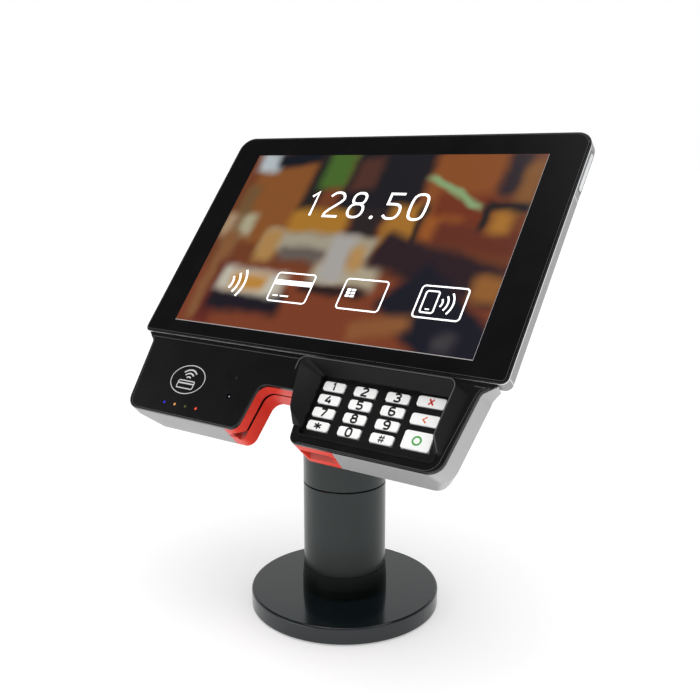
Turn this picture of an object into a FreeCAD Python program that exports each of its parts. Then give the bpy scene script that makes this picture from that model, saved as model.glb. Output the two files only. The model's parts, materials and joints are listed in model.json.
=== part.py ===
import FreeCAD, Part
import math
import os
import re

import Sketcher

# A counter-top card payment terminal: a tablet with a card and PIN module below it, on a tilting
# bracket at the top of a round swivel post. The origin is the centre of the foot's underside, +Z is
# up and the screen faces -Y. Pieces of the head are drawn flat, with +X to the right, +Y up along the
# screen and +Z out of the glass, from the centre of the screen, and then leaned back as a whole.

V = FreeCAD.Vector
Z_AXIS = V(0, 0, 1)

# Driving dimensions in millimetres and degrees.
SIZES = {
    # stand
    "base_radius": 60.4,
    "base_under": 1.0,
    "base_top": 11.8,
    "base_edge": 1.4,
    "pad_radius": 56.5,
    "pad_seat": 1.6,
    "cable_bore_radius": 12.0,
    "fixing_circle_radius": 48.0,
    "fixing_hole_radius": 3.0,
    "fixing_depth": 8.0,
    "post_screw_circle_radius": 17.0,
    "post_radius": 26.2,
    "post_wall": 3.2,
    "collar_radius": 27.1,
    "collar_top": 27.0,
    "seam_height": 82.4,
    "seam_gap": 0.6,
    "bush_depth": 10.0,
    "spindle_radius": 10.0,
    "spindle_bore_radius": 7.5,
    "running_clearance": 0.05,
    "post_top": 128.0,
    "cap_depth": 4.0,
    # tilt joint
    "pivot_height": 162.0,
    "ear_radius": 10.0,
    "yoke_ear_inside": 16.0,
    "yoke_ear_outside": 22.0,
    "knuckle_ear_inside": 9.0,
    "knuckle_ear_outside": 15.0,
    "bolt_radius": 4.0,
    "plate_width": 76.0,
    "plate_length": 66.0,
    "plate_depth": 3.0,
    "mount_spacing_across": 60.0,
    "mount_spacing_along": 50.0,
    "inlet_y": -36.3,
    # head
    "head_y": 5.7,
    "head_z": 233.0,
    "head_tilt": 39.6,
    "head_depth": 26.0,
    "tablet_width": 262.0,
    "tablet_length": 162.5,
    "tablet_middle": 2.75,
    "tablet_corner": 10.5,
    "tablet_low_corner": 4.0,
    "tablet_depth": 9.6,
    "tablet_rim": 0.4,
    "glass_depth": 1.1,
    "glass_seat_depth": 1.15,
    "glass_margin": 1.1,
    "screen_width": 217.0,
    "screen_length": 135.6,
    "wall": 2.2,
    "module_top": -81.2,
    "module_tongue_top": -78.8,
    "groove_depth": 1.5,
    "module_bottom": -132.3,
    "cover_depth": 2.4,
    "module_depth": 11.0,
    # card slot
    "slot_front": 11.4,
    "slot_back": 13.1,
    "card_half_width": 27.3,
    "guide_top": -95.2,
    "guide_left": -30.3,
    "guide_right": 47.5,
    "guide_lean": 0.26,
    "notch_lean": 0.15,
    # keypad
    "key_width": 14.4,
    "key_length": 5.8,
    "function_key_width": 17.0,
    "key_pitch_across": 20.8,
    "key_pitch_along": 8.1,
    "first_key_x": 30.8,
    "first_key_y": -94.5,
    "function_key_x": 92.8,
    "key_top": 2.7,
    "key_gap": 0.3,
    "key_flange": 0.7,
    "flange_top": 5.1,
    "flange_bottom": 5.9,
    "floor_depth": 3.5,
    "floor_back": 4.9,
    "hood_height": 8.0,
}

# Places shared between pieces, in the head's flat drawing.
LIGHT_PLACES = [(-83.0, -124.8), (-74.1, -124.8), (-65.2, -124.8), (-56.3, -124.8)]
SENSOR_PLACE = (-36.9, -100.9)
LENS_PLACE = (-36.0, -113.0)
COVER_SCREW_PLACES = [(56, -112), (-56, -112), (58, -5), (-58, -5)]
SIDE_KEY_LEVEL = -5.4

doc = FreeCAD.newDocument("PaymentTerminal")
sheet = doc.addObject("Spreadsheet::Sheet", "Sizes")
for row, (alias, value) in enumerate(SIZES.items(), start=1):
    sheet.set("A%d" % row, alias)
    sheet.set("B%d" % row, str(value))
    sheet.setAlias("B%d" % row, alias)
doc.recompute()

NODES = []


def size(alias):
    """The value of one of the sheet's aliases."""
    return sheet.get(alias)


def bind(item, prop, formula):
    """Binds a property to a formula written with the sheet's aliases."""
    linked = re.sub(r"[a-z][a-z_]+", lambda word: "Sizes." + word.group(), str(formula))
    item.setExpression(prop, linked)


def head_place():
    """Where the head's flat drawing sits: leaned back and lifted onto the stand."""
    lean = FreeCAD.Rotation(V(1, 0, 0), 90 - size("head_tilt"))
    return FreeCAD.Placement(V(0, size("head_y"), size("head_z")), lean)


# ---------------------------------------------------------------- drawing helpers


def new_body(label, place=None):
    body = doc.addObject("PartDesign::Body", label)
    body.Label = label
    if place is not None:
        body.Placement = place
    NODES.append(body)
    return body


def sketch_on(body, role="XY_Plane", offset=None):
    """A sketch on one of the body's origin planes, moved along that plane's normal by offset."""
    plane = next(item for item in body.Origin.OriginFeatures if item.Role == role)
    sketch = body.newObject("Sketcher::SketchObject", body.Label + "_sketch")
    sketch.AttachmentSupport = [(plane, "")]
    sketch.MapMode = "FlatFace"
    if offset is not None:
        bind(sketch, "AttachmentOffset.Base.z", offset)
    return sketch


def circle(sketch, radius, x=0.0, y=0.0):
    """A circle with a bound radius."""
    index = sketch.addGeometry(Part.Circle(V(x, y, 0), Z_AXIS, 1.0), False)
    if x == 0 and y == 0:
        sketch.addConstraint(Sketcher.Constraint("Coincident", index, 3, -1, 1))
    else:
        sketch.addConstraint(Sketcher.Constraint("DistanceX", index, 3, x))
        sketch.addConstraint(Sketcher.Constraint("DistanceY", index, 3, y))
    held = sketch.addConstraint(Sketcher.Constraint("Radius", index, 1.0))
    bind(sketch, "Constraints[%d]" % held, radius)


def rectangle(sketch, x, y, width, length):
    """A rectangle centred on x, y with a bound width and length."""
    first = sketch.GeometryCount
    corners = [V(x - 1, y - 1, 0), V(x + 1, y - 1, 0), V(x + 1, y + 1, 0), V(x - 1, y + 1, 0)]
    for i in range(4):
        sketch.addGeometry(Part.LineSegment(corners[i], corners[(i + 1) % 4]), False)
    for i in range(4):
        joined = Sketcher.Constraint("Coincident", first + i, 2, first + (i + 1) % 4, 1)
        sketch.addConstraint(joined)
        level = "Horizontal" if i % 2 == 0 else "Vertical"
        sketch.addConstraint(Sketcher.Constraint(level, first + i))
    held = sketch.addConstraint(Sketcher.Constraint("DistanceX", first, 1, first, 2, 2.0))
    bind(sketch, "Constraints[%d]" % held, width)
    held = sketch.addConstraint(Sketcher.Constraint("DistanceY", first + 1, 1, first + 1, 2, 2.0))
    bind(sketch, "Constraints[%d]" % held, length)
    held = sketch.addConstraint(Sketcher.Constraint("DistanceX", first, 1, x - 1))
    bind(sketch, "Constraints[%d]" % held, "%g - (%s) / 2" % (x, width))
    held = sketch.addConstraint(Sketcher.Constraint("DistanceY", first, 1, y - 1))
    bind(sketch, "Constraints[%d]" % held, "%g - (%s) / 2" % (y, length))


def outline(sketch, corners):
    """A closed outline of straight runs, each corner given as (x, y, radius)."""
    runs = []
    for i, (x, y, radius) in enumerate(corners):
        here = V(x, y, 0)
        before = V(corners[i - 1][0], corners[i - 1][1], 0) - here
        after = V(corners[(i + 1) % len(corners)][0], corners[(i + 1) % len(corners)][1], 0) - here
        before.normalize()
        after.normalize()
        half = before.getAngle(after) / 2
        reach = radius / math.tan(half)
        inward = (before + after).normalize()
        middle = here + inward * (radius / math.sin(half) - radius)
        runs.append((here + before * reach, middle, here + after * reach, radius))
    for i, (start, middle, end, radius) in enumerate(runs):
        if radius > 0:
            sketch.addGeometry(Part.Arc(start, middle, end), False)
        sketch.addGeometry(Part.LineSegment(end, runs[(i + 1) % len(runs)][0]), False)


def rounded(x_low, y_low, x_high, y_high, radius):
    """The corners of a rectangle with round corners."""
    return [(x_low, y_low, radius), (x_high, y_low, radius), (x_high, y_high, radius),
            (x_low, y_high, radius)]


def hexagon(reach, radius=0.0):
    """The corners of a hexagon, each at the given reach from the middle."""
    turns = [math.radians(60 * i) for i in range(6)]
    return [(reach * math.cos(turn), reach * math.sin(turn), radius) for turn in turns]


def add_feature(body, kind, sketch, settings):
    item = body.newObject("PartDesign::" + kind, body.Label + "_" + kind.lower())
    item.Profile = sketch
    for name, value in settings.items():
        setattr(item, name, value)
    return item


def pad(body, sketch, length, **settings):
    """Material from the sketch along its normal."""
    item = add_feature(body, "Pad", sketch, settings)
    bind(item, "Length", length)
    doc.recompute()
    return item


def pocket(body, sketch, length=None, **settings):
    """A cut from the sketch against its normal, or right through both ways without a length."""
    before = body.Shape.Volume
    if length is None:
        settings = dict(settings, Type="ThroughAll", Midplane=True)
    item = add_feature(body, "Pocket", sketch, settings)
    if length is not None:
        bind(item, "Length", length)
    doc.recompute()
    if item.Shape.isNull() or item.Shape.Volume > before - 0.001:
        raise RuntimeError(body.Label + ": a pocket cut nothing")
    return item


def revolve(body, corners, kind="Revolution"):
    """A turned shape about Z, from its outline in (radius, height)."""
    before = body.Shape.Volume if kind == "Groove" else 0.0
    sketch = sketch_on(body, "XZ_Plane")
    outline(sketch, corners)
    item = add_feature(body, kind, sketch, {"Angle": 360.0})
    item.ReferenceAxis = (sketch, ["V_Axis"])
    doc.recompute()
    if kind == "Groove" and item.Shape.Volume > before - 0.001:
        raise RuntimeError(body.Label + ": a groove cut nothing")
    return item


def dress(body, kind, chosen, amount):
    """A fillet or chamfer on the tip's chosen edges."""
    base = body.Tip
    names = ["Edge%d" % (i + 1) for i, edge in enumerate(base.Shape.Edges) if chosen(edge)]
    item = body.newObject("PartDesign::" + kind, body.Label + "_" + kind.lower())
    item.Base = (base, names)
    bind(item, "Radius" if kind == "Fillet" else "Size", amount)
    doc.recompute()
    return item


def at_level(height):
    """Picks edges that lie flat at a height."""
    return lambda edge: (abs(edge.BoundBox.ZMin - height) < 0.001
                         and abs(edge.BoundBox.ZMax - height) < 0.001)


def three_round(body, *features):
    """Repeats features three times round Z."""
    item = body.newObject("PartDesign::PolarPattern", body.Label + "_pattern")
    item.Originals = list(features)
    axis = next(one for one in body.Origin.OriginFeatures if one.Role == "Z_Axis")
    item.Axis = (axis, [""])
    item.Angle = 360.0
    item.Occurrences = 3
    body.Tip = item
    doc.recompute()


def plate(label, x, y, width, length, back, depth, corner=0.0, place=None):
    """A flat rectangular piece whose back face is at height back."""
    body = new_body(label, place)
    sketch = sketch_on(body, offset=back)
    rectangle(sketch, x, y, width, length)
    pad(body, sketch, depth)
    if corner > 0:
        dress(body, "Fillet", lambda edge: edge.BoundBox.XLength + edge.BoundBox.YLength < 0.001, corner)
    return body


# ---------------------------------------------------------------- stand


def foot_pad():
    """The soft pad glued into the base plate's recess."""
    body = new_body("foot_pad")
    sketch = sketch_on(body)
    circle(sketch, "pad_radius")
    circle(sketch, "cable_bore_radius")
    pad(body, sketch, "pad_seat")
    holes = sketch_on(body)
    circle(holes, "fixing_hole_radius + 2", size("fixing_circle_radius"))
    three_round(body, pocket(body, holes))


def base_plate():
    """The heavy round plate, with a cable bore, post screw holes and counter fixing holes."""
    radius, under, top = size("base_radius"), size("base_under"), size("base_top")
    edge, seat, pad_edge = size("base_edge"), size("pad_seat"), size("pad_radius") + 0.3
    body = new_body("base_plate")
    revolve(body, [(0, seat, 0), (pad_edge, seat, 0), (pad_edge, under, 0), (radius, under, 0.6),
                   (radius, top, edge), (0, top, 0)])
    bore = sketch_on(body, offset="base_top")
    circle(bore, "cable_bore_radius")
    pocket(body, bore, "base_top")
    fixing = sketch_on(body, offset="pad_seat")
    circle(fixing, "fixing_hole_radius", size("fixing_circle_radius"))
    three_round(body, pocket(body, fixing, "fixing_depth", Reversed=True))
    clearance = sketch_on(body, offset="base_top")
    circle(clearance, 2.75, -size("post_screw_circle_radius"))
    three_round(body, pocket(body, clearance, "base_top"))
    head = sketch_on(body, offset="pad_seat")
    circle(head, 5.0, -size("post_screw_circle_radius"))
    three_round(body, pocket(body, head, 3.6, Reversed=True))


def post_foot():
    """The threaded disc inside the foot of the post."""
    body = new_body("post_foot")
    inside = size("post_radius") - size("post_wall")
    top = size("base_top")
    revolve(body, [(0, top, 0), (inside, top, 0), (inside, top + 11, 1.0), (0, top + 11, 0)])
    bore = sketch_on(body, offset="base_top")
    circle(bore, "cable_bore_radius")
    pocket(body, bore)
    threads = sketch_on(body, offset="base_top")
    circle(threads, 2.5, -size("post_screw_circle_radius"))
    three_round(body, pocket(body, threads))


def post_screws():
    """Three screws that pull the post onto the base plate."""
    body = new_body("post_screws")
    place = -size("post_screw_circle_radius")
    head = sketch_on(body, offset="pad_seat + 0.2")
    circle(head, 4.7, place)
    first = pad(body, head, 3.2)
    shank = sketch_on(body, offset="pad_seat + 0.2")
    circle(shank, 2.45, place)
    second = pad(body, shank, 17.0)
    socket = sketch_on(body, offset="pad_seat + 0.2")
    circle(socket, 2.0, place)
    third = pocket(body, socket, 2.0, Reversed=True)
    three_round(body, first, second, third)


def tube(label, low, high, inside, outside):
    """A plain tube about Z between two heights."""
    body = new_body(label)
    sketch = sketch_on(body, offset=low)
    circle(sketch, outside)
    circle(sketch, inside)
    pad(body, sketch, "(%s) - (%s)" % (high, low))
    return body


def post_collar():
    """The trim ring round the foot of the post."""
    body = new_body("post_collar")
    inside, outside = size("post_radius") + 0.05, size("collar_radius")
    low, high = size("base_top"), size("collar_top")
    revolve(body, [(inside, low, 0), (outside, low, 0), (outside, high - 9, 6), (inside + 0.2, high, 0),
                   (inside, high, 0)])


def lower_post():
    body = tube("lower_post", "base_top", "seam_height", "post_radius - post_wall", "post_radius")
    dress(body, "Chamfer", lambda edge: at_level(size("seam_height"))(edge)
          and edge.BoundBox.XLength > 2 * size("post_radius") - 0.1, 0.3)


def upper_post():
    low = size("seam_height") + size("seam_gap")
    body = tube("upper_post", "seam_height + seam_gap", "post_top", "post_radius - post_wall",
                "post_radius")
    dress(body, "Chamfer", lambda edge: at_level(low)(edge)
          and edge.BoundBox.XLength > 2 * size("post_radius") - 0.1, 0.3)


def swivel_bush():
    """The bearing bush pressed into the top of the lower post."""
    tube("swivel_bush", "seam_height - bush_depth", "seam_height", "spindle_radius + running_clearance",
         "post_radius - post_wall")


def thrust_washer():
    tube("thrust_washer", "seam_height", "seam_height + seam_gap - 0.05", "spindle_radius + 1",
         "post_radius - post_wall - 2")


def swivel_hub():
    """The disc pressed into the foot of the upper post, which carries the spindle."""
    tube("swivel_hub", "seam_height + seam_gap", "seam_height + seam_gap + bush_depth", "spindle_radius",
         "post_radius - post_wall")


def swivel_spindle():
    """The hollow spindle with its flange, through which the cable passes."""
    body = new_body("swivel_spindle")
    bore, radius = size("spindle_bore_radius"), size("spindle_radius")
    seam, hub_top = size("seam_height"), size("seam_height") + size("seam_gap") + size("bush_depth")
    revolve(body, [(bore, seam - 16, 0.4), (radius, seam - 16, 0.4), (radius, hub_top, 0), (13, hub_top, 0),
                   (13, hub_top + 3, 0.6), (bore, hub_top + 3, 0.4)])


def spindle_nut():
    """The ring nut that holds the spindle under the bush."""
    body = new_body("spindle_nut")
    sketch = sketch_on(body, offset="seam_height - bush_depth - 4.2")
    outline(sketch, hexagon(13.5, 0.8))
    circle(sketch, "spindle_radius")
    pad(body, sketch, 4.0)


def tilt_yoke():
    """The cap of the post with its two ears, between which the head tilts."""
    body = new_body("tilt_yoke")
    post, top = size("post_radius"), size("post_top")
    cap, plug = size("cap_depth"), size("post_radius") - size("post_wall")
    revolve(body, [(0, top - 9, 0), (plug, top - 9, 0.8), (plug, top, 0), (post, top, 0),
                   (post, top + cap, 2.4), (0, top + cap, 0)])
    ear, pivot = size("ear_radius"), size("pivot_height")
    seat, foot, neck = top + cap - 1, ear + 5, top + cap + 14
    for offset in ("yoke_ear_inside", "0 - yoke_ear_outside"):
        sketch = sketch_on(body, "YZ_Plane", offset)
        outline(sketch, [(-foot, seat, 0), (foot, seat, 0), (foot, seat + 5, 6), (ear, neck, 12),
                         (ear, pivot + ear, ear - 0.01), (-ear, pivot + ear, ear - 0.01),
                         (-ear, neck, 12), (-foot, seat + 5, 6)])
        pad(body, sketch, "yoke_ear_outside - yoke_ear_inside")
    bolt = sketch_on(body, "YZ_Plane")
    circle(bolt, "bolt_radius + 0.1", 0.0001, pivot)
    pocket(body, bolt)
    cable = sketch_on(body, offset="post_top + cap_depth")
    circle(cable, "spindle_bore_radius")
    pocket(body, cable, 20.0)


def pivot_place():
    """Where a piece drawn upright about Z lies down on the tilt axis, its +Z along +X."""
    return FreeCAD.Placement(V(0, 0, size("pivot_height")), FreeCAD.Rotation(V(0, 1, 0), 90))


def tilt_bolt():
    """The shoulder bolt that the head tilts on, with its round socket head."""
    radius, out = size("bolt_radius"), size("yoke_ear_outside")
    body = new_body("tilt_bolt", pivot_place())
    revolve(body, [(0, -out - 4, 0), (7, -out - 4, 1.0), (7, -out, 0), (radius, -out, 0),
                   (radius, out + 7, 0.5), (0, out + 7, 0)])
    socket = sketch_on(body, offset="0 - yoke_ear_outside - 4")
    outline(socket, hexagon(2.9))
    pocket(body, socket, 2.5, Reversed=True)


def tilt_nut():
    """The domed lock nut."""
    body = new_body("tilt_nut", pivot_place())
    sketch = sketch_on(body, offset="yoke_ear_outside + 0.8")
    outline(sketch, hexagon(7.4, 0.5))
    circle(sketch, "bolt_radius")
    pad(body, sketch, 5.4)


def friction_washers():
    """A friction washer between each pair of ears and one under the nut, in one group."""
    body = new_body("friction_washers", pivot_place())
    gap = "yoke_ear_inside - knuckle_ear_outside - 0.1"
    for offset, depth in (("knuckle_ear_outside + 0.1", gap), ("0 - yoke_ear_inside", gap),
                          ("yoke_ear_outside", "0.8")):
        sketch = sketch_on(body, offset=offset)
        circle(sketch, "ear_radius - 1.5")
        circle(sketch, "bolt_radius")
        pad(body, sketch, depth)


def pivot_in_head():
    """The tilt axis in the head's flat drawing, as (y, z)."""
    place = head_place().inverse()
    point = place.multVec(V(0, 0, size("pivot_height")))
    return point.y, point.z


def mount_screw_places():
    """The four screws of the mount plate, as (x, y) in the head's flat drawing."""
    middle = pivot_in_head()[0]
    across, along = size("mount_spacing_across") / 2, size("mount_spacing_along") / 2
    return [(across, middle + along), (-across, middle + along), (-across, middle - along),
            (across, middle - along)]


def tilt_knuckle():
    """The mount plate on the back of the head with its two ears."""
    body = new_body("tilt_knuckle", head_place())
    pivot_y, pivot_z = pivot_in_head()
    back = size("head_depth")
    face = sketch_on(body, offset="0 - head_depth - plate_depth - 0.1")
    rectangle(face, 0, pivot_y, "plate_width", "plate_length")
    pad(body, face, "plate_depth")
    dress(body, "Fillet", lambda edge: edge.BoundBox.XLength + edge.BoundBox.YLength < 0.001, 6.0)
    holes = sketch_on(body, offset="0 - head_depth")
    for x, y in mount_screw_places():
        circle(holes, 2.25, x, y)
    pocket(body, holes)
    cable = sketch_on(body, offset="0 - head_depth")
    outline(cable, rounded(-8, pivot_y + 14, 8, pivot_y + 30, 7))
    pocket(body, cable)
    ear = size("ear_radius")
    root = -back - 1.0
    for offset in ("knuckle_ear_inside", "0 - knuckle_ear_outside"):
        sketch = sketch_on(body, "YZ_Plane", offset)
        outline(sketch, [(pivot_y - ear - 6, root, 0), (pivot_y + ear + 6, root, 0),
                         (pivot_y + ear, -back - 8, 4), (pivot_y + ear, pivot_z - ear, ear - 0.01),
                         (pivot_y - ear, pivot_z - ear, ear - 0.01), (pivot_y - ear, -back - 8, 4)])
        pad(body, sketch, "knuckle_ear_outside - knuckle_ear_inside")
    bolt = sketch_on(body, "YZ_Plane")
    circle(bolt, "bolt_radius + running_clearance", pivot_y, pivot_z)
    pocket(body, bolt)


# ---------------------------------------------------------------- tablet


def tablet_outline(inset):
    """The tablet's outline drawn in by an inset: its lower corners are tighter than its upper ones."""
    half = size("tablet_width") / 2 - inset
    low = size("tablet_middle") - size("tablet_length") / 2 + inset
    high = size("tablet_middle") + size("tablet_length") / 2 - inset
    tight, wide = size("tablet_low_corner") - inset, size("tablet_corner") - inset
    return [(-half, low, tight), (half, low, tight), (half, high, wide), (-half, high, wide)]


def tablet_shell():
    """The tablet's tray: a rim, a seat for the glass and a flat back."""
    rim, depth, seat = size("tablet_rim"), size("tablet_depth"), size("glass_margin") - 0.15
    body = new_body("tablet_shell", head_place())
    outside = sketch_on(body, offset="0 - tablet_depth")
    outline(outside, tablet_outline(0))
    pad(body, outside, "tablet_depth - tablet_rim")
    dress(body, "Fillet", at_level(-depth), 2.0)
    dress(body, "Chamfer", at_level(-rim), 0.35)
    glass = sketch_on(body, offset="0 - tablet_rim")
    outline(glass, tablet_outline(seat))
    pocket(body, glass, "glass_seat_depth - tablet_rim")
    tray = sketch_on(body, offset="0 - glass_seat_depth")
    outline(tray, tablet_outline(size("wall") + 0.9))
    pocket(body, tray, "tablet_depth - glass_seat_depth - 1.5")
    side = sketch_on(body, "YZ_Plane", "tablet_width / 2 + 1")
    outline(side, rounded(45.9, -7.2, 72.1, -3.6, 1.4))
    pocket(body, side, 6.0)
    top = sketch_on(body, "XZ_Plane", "0 - tablet_middle - tablet_length / 2 - 1")
    outline(top, rounded(87.9, -7.2, 101.1, -3.6, 1.4))
    pocket(body, top, 6.0, Reversed=True)
    link = sketch_on(body, offset="0 - glass_seat_depth")
    outline(link, rounded(-14, -46, 14, -38, 2))
    pocket(body, link)
    bosses = sketch_on(body, offset="0 - tablet_depth + 1")
    threads = sketch_on(body, offset="0 - tablet_depth + 4.4")
    for x, y in COVER_SCREW_PLACES[2:]:
        circle(bosses, 3.6, x, y)
        circle(threads, 1.5, x, y)
    pad(body, bosses, 3.4)
    pocket(body, threads)


def cover_glass():
    body = new_body("cover_glass", head_place())
    sketch = sketch_on(body, offset="0 - glass_depth")
    outline(sketch, tablet_outline(size("glass_margin")))
    pad(body, sketch, "glass_depth")
    dress(body, "Chamfer", at_level(0), 0.2)


def side_key(label, place, half_length):
    """A slim key drawn upright, proud of the shell's wall at z = 0, with an inner flange."""
    proud, root, half_width, flange = 0.45, -3.7, 1.5, 0.7
    body = new_body(label, place)
    stem = sketch_on(body, offset=root)
    outline(stem, rounded(-half_length, -half_width, half_length, half_width, 1.2))
    pad(body, stem, proud - root)
    dress(body, "Fillet", at_level(proud), 0.4)
    base = sketch_on(body, offset=root - 0.5)
    reach, width = half_length + flange, half_width + flange
    outline(base, rounded(-reach, -width, reach, width, 1.2))
    pad(body, base, 0.8)


def volume_key():
    out = FreeCAD.Rotation(V(0, 1, 0), V(0, 0, 1), V(1, 0, 0), "ZXY")
    local = FreeCAD.Placement(V(size("tablet_width") / 2, 59, SIDE_KEY_LEVEL), out)
    side_key("volume_key", head_place() * local, 12.8)


def power_key():
    high = size("tablet_middle") + size("tablet_length") / 2
    out = FreeCAD.Rotation(V(1, 0, 0), -90)
    local = FreeCAD.Placement(V(94.5, high, SIDE_KEY_LEVEL), out)
    side_key("power_key", head_place() * local, 6.3)


def display_panel():
    plate("display_panel", 0, 0, "screen_width + 5", "screen_length + 5", -4.9, 3.4, place=head_place())


def tablet_board():
    body = plate("tablet_board", 0, -48, 150, 40, -7.4, 1.2, 2.0, head_place())
    chips = sketch_on(body, offset=-6.2)
    for x, width in ((-45, 18), (-8, 14), (30, 22)):
        rectangle(chips, x, -50, width, 14)
    pad(body, chips, 0.9)


def tablet_battery():
    plate("tablet_battery", 0, 34, 104, 62, -7.9, 2.7, 1.0, head_place())


def speaker():
    plate("speaker", 96, -60, 36, 14, -7.9, 2.8, 3.0, head_place())


# ---------------------------------------------------------------- card and PIN module


def module_outline(top, grow=0.0, flare=8.2, corner=9.0):
    """The module's outline: drawn in towards the bottom, and flared to the tablet's width at the top."""
    bottom, flare_low, flare_high = size("module_bottom"), -85.0, size("module_tongue_top")
    low, high = 112.4 + grow, 118.6 + grow
    flared = high + flare * (top - flare_low) / (flare_high - flare_low)
    right = [(low, bottom, corner), (high, flare_low, 4.0), (flared, top, 0.4)]
    left = [(-x, y, radius) for x, y, radius in reversed(right)]
    return right + left


def notch_outline():
    """The finger notch in the bottom edge, open downwards."""
    top, bottom, below = -101.8, size("module_bottom"), size("module_bottom") - 8
    return [(-34.0, below, 0), (-34.0, bottom, 0), (-20.9, bottom, 6.5), (-18.6, top, 7.0),
            (14.0, top, 3.0), (18.4, bottom, 5.0), (30.0, bottom, 0), (30.0, below, 0)]


def guide_flanks(gap):
    """The slanted section that the card guides fill, as (x, z), grown sideways by a gap."""
    low, high, lean = -size("head_depth") - 4, 4, size("guide_lean")
    left, right = size("guide_left") - gap, size("guide_right") + gap
    return [(left + lean * low, low, 0), (right + lean * low, low, 0), (right + lean * high, high, 0),
            (left + lean * high, high, 0)]


def front_cover():
    """The black moulded cover of the module, with the keypad window and the small front holes."""
    body = new_body("front_cover", head_place())
    tongue = sketch_on(body, offset="0 - cover_depth")
    outline(tongue, module_outline(size("module_tongue_top")))
    pad(body, tongue, "cover_depth - groove_depth")
    face = sketch_on(body, offset="0 - groove_depth")
    outline(face, module_outline(size("module_top")))
    pad(body, face, "groove_depth")
    notch = sketch_on(body, offset=1)
    outline(notch, notch_outline())
    pocket(body, notch, 6.0)
    dress(body, "Fillet", at_level(0), 0.7)
    window = sketch_on(body, offset=1)
    outline(window, rounded(20.9, -127.5, 107.8, -87.3, 2.5))
    pocket(body, window, 6.0)
    small = sketch_on(body, offset=1)
    for x, y in LIGHT_PLACES:
        circle(small, 0.95, x, y)
    circle(small, 0.7, *SENSOR_PLACE)
    circle(small, 1.8, *LENS_PLACE)
    pocket(body, small, 6.0)


def module_housing():
    """The grey rear moulding: its sides lean out and then back in, and its bottom edge is deep."""
    depth = size("head_depth")
    top, bottom, thin = size("module_top"), size("module_bottom"), size("module_depth")
    wall = size("wall")
    body = new_body("module_housing", head_place())
    front = sketch_on(body, offset="0 - cover_depth")
    outline(front, module_outline(size("module_tongue_top"), 0.25))
    widest = sketch_on(body, offset="0 - module_depth")
    outline(widest, module_outline(size("module_tongue_top"), 3.2, 3.0))
    back = sketch_on(body, offset="0 - head_depth")
    outline(back, module_outline(size("module_tongue_top"), -6.0, 3.0, 8.0))
    add_feature(body, "AdditiveLoft", front, {"Sections": [widest, back], "Ruled": True})
    doc.recompute()
    behind = sketch_on(body, "YZ_Plane")
    outline(behind, [(bottom + 2, -depth - 3, 0), (bottom + 2, -depth, 0), (bottom + 14, -14.6, 0),
                     (top - 1, 0.6 - thin, 0), (top + 3, 0.6 - thin, 0), (top + 3, -depth - 3, 0)])
    pocket(body, behind)
    guides = sketch_on(body, "XZ_Plane", "0 - guide_top")
    outline(guides, guide_flanks(0))
    pocket(body, guides, 60.0, Reversed=True)
    inside = sketch_on(body, offset="0 - cover_depth")
    left, right = size("guide_left") - 3.2, size("guide_right") + wall
    low, high = bottom + wall + 0.2, top - 2.4
    outline(inside, [(left, low, 1), (left, high, 1), (-116.6, high, 1), (-110.4, low, 8)])
    outline(inside, [(20.0, low, 1), (110.4, low, 8), (115.8, high - 3.2, 1), (20.0, high - 3.2, 1)])
    pocket(body, inside, 6.8)
    chin = sketch_on(body, offset=-9.0)
    outline(chin, rounded(-103, low, left - 3.6, low + 6.2, 2))
    outline(chin, rounded(right, low, 103, low + 6.2, 2))
    pocket(body, chin, 8.8)
    reader = sketch_on(body, offset=-10.4)
    outline(reader, rounded(-30.6, size("guide_top") - 0.5, 32.6, size("module_tongue_top") + 1, 0.5))
    pocket(body, reader, 20.0)
    threads = sketch_on(body, offset=-8.0)
    for x, y in COVER_SCREW_PLACES[:2]:
        circle(threads, 1.5, x, y)
    pocket(body, threads, 20.0)


def guide_solid(label, front, back):
    """One half of the card guide: the orange block round the finger notch between two depths."""
    body = new_body(label, head_place())
    bottom, top = size("module_bottom"), size("guide_top") - 0.1
    sketch = sketch_on(body, offset="0 - (%s)" % back)
    outline(sketch, [(-45, bottom, 0), (60, bottom, 0), (60, top, 0), (-45, top, 0)])
    pad(body, sketch, "(%s) - (%s)" % (back, front))
    low_left, low_right, high_right, high_left = guide_flanks(-0.05)
    for inner_low, inner_high, far in ((low_left, high_left, -70), (low_right, high_right, 80)):
        side = sketch_on(body, "XZ_Plane", "0 - guide_top")
        outline(side, [(far, inner_low[1], 0), inner_low, inner_high, (far, inner_high[1], 0)])
        pocket(body, side, 60.0, Reversed=True)
    notch = sketch_on(body)
    outline(notch, notch_outline())
    pocket(body, notch, 40.0, UseCustomVector=True, Direction=V(-size("notch_lean"), 0, -1))
    return body


def funnels(body):
    """The two V-shaped lead-ins of the card slit in the bottom edge."""
    bottom = size("module_bottom")
    middle = (size("slot_front") + size("slot_back")) / 2
    for start, width, front, back in ((-28.7, 9.5, 6.6, 17.6), (20.5, 20.6, 9.0, 23.0)):
        sketch = sketch_on(body, "YZ_Plane", start)
        outline(sketch, [(bottom + 5.5, -middle, 0), (bottom - 0.5, -front, 0), (bottom - 1, -front, 0),
                         (bottom - 1, -back, 0), (bottom - 0.5, -back, 0)])
        pocket(body, sketch, width, Reversed=True)


def card_guide_front():
    body = guide_solid("card_guide_front", "cover_depth", "slot_front")
    funnels(body)
    keypad = sketch_on(body, offset="0 - cover_depth")
    outline(keypad, [(20.0, -127.8, 1), (60, -127.8, 0), (60, -90, 0), (20.0, -90, 0)])
    pocket(body, keypad, 6.8)


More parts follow.
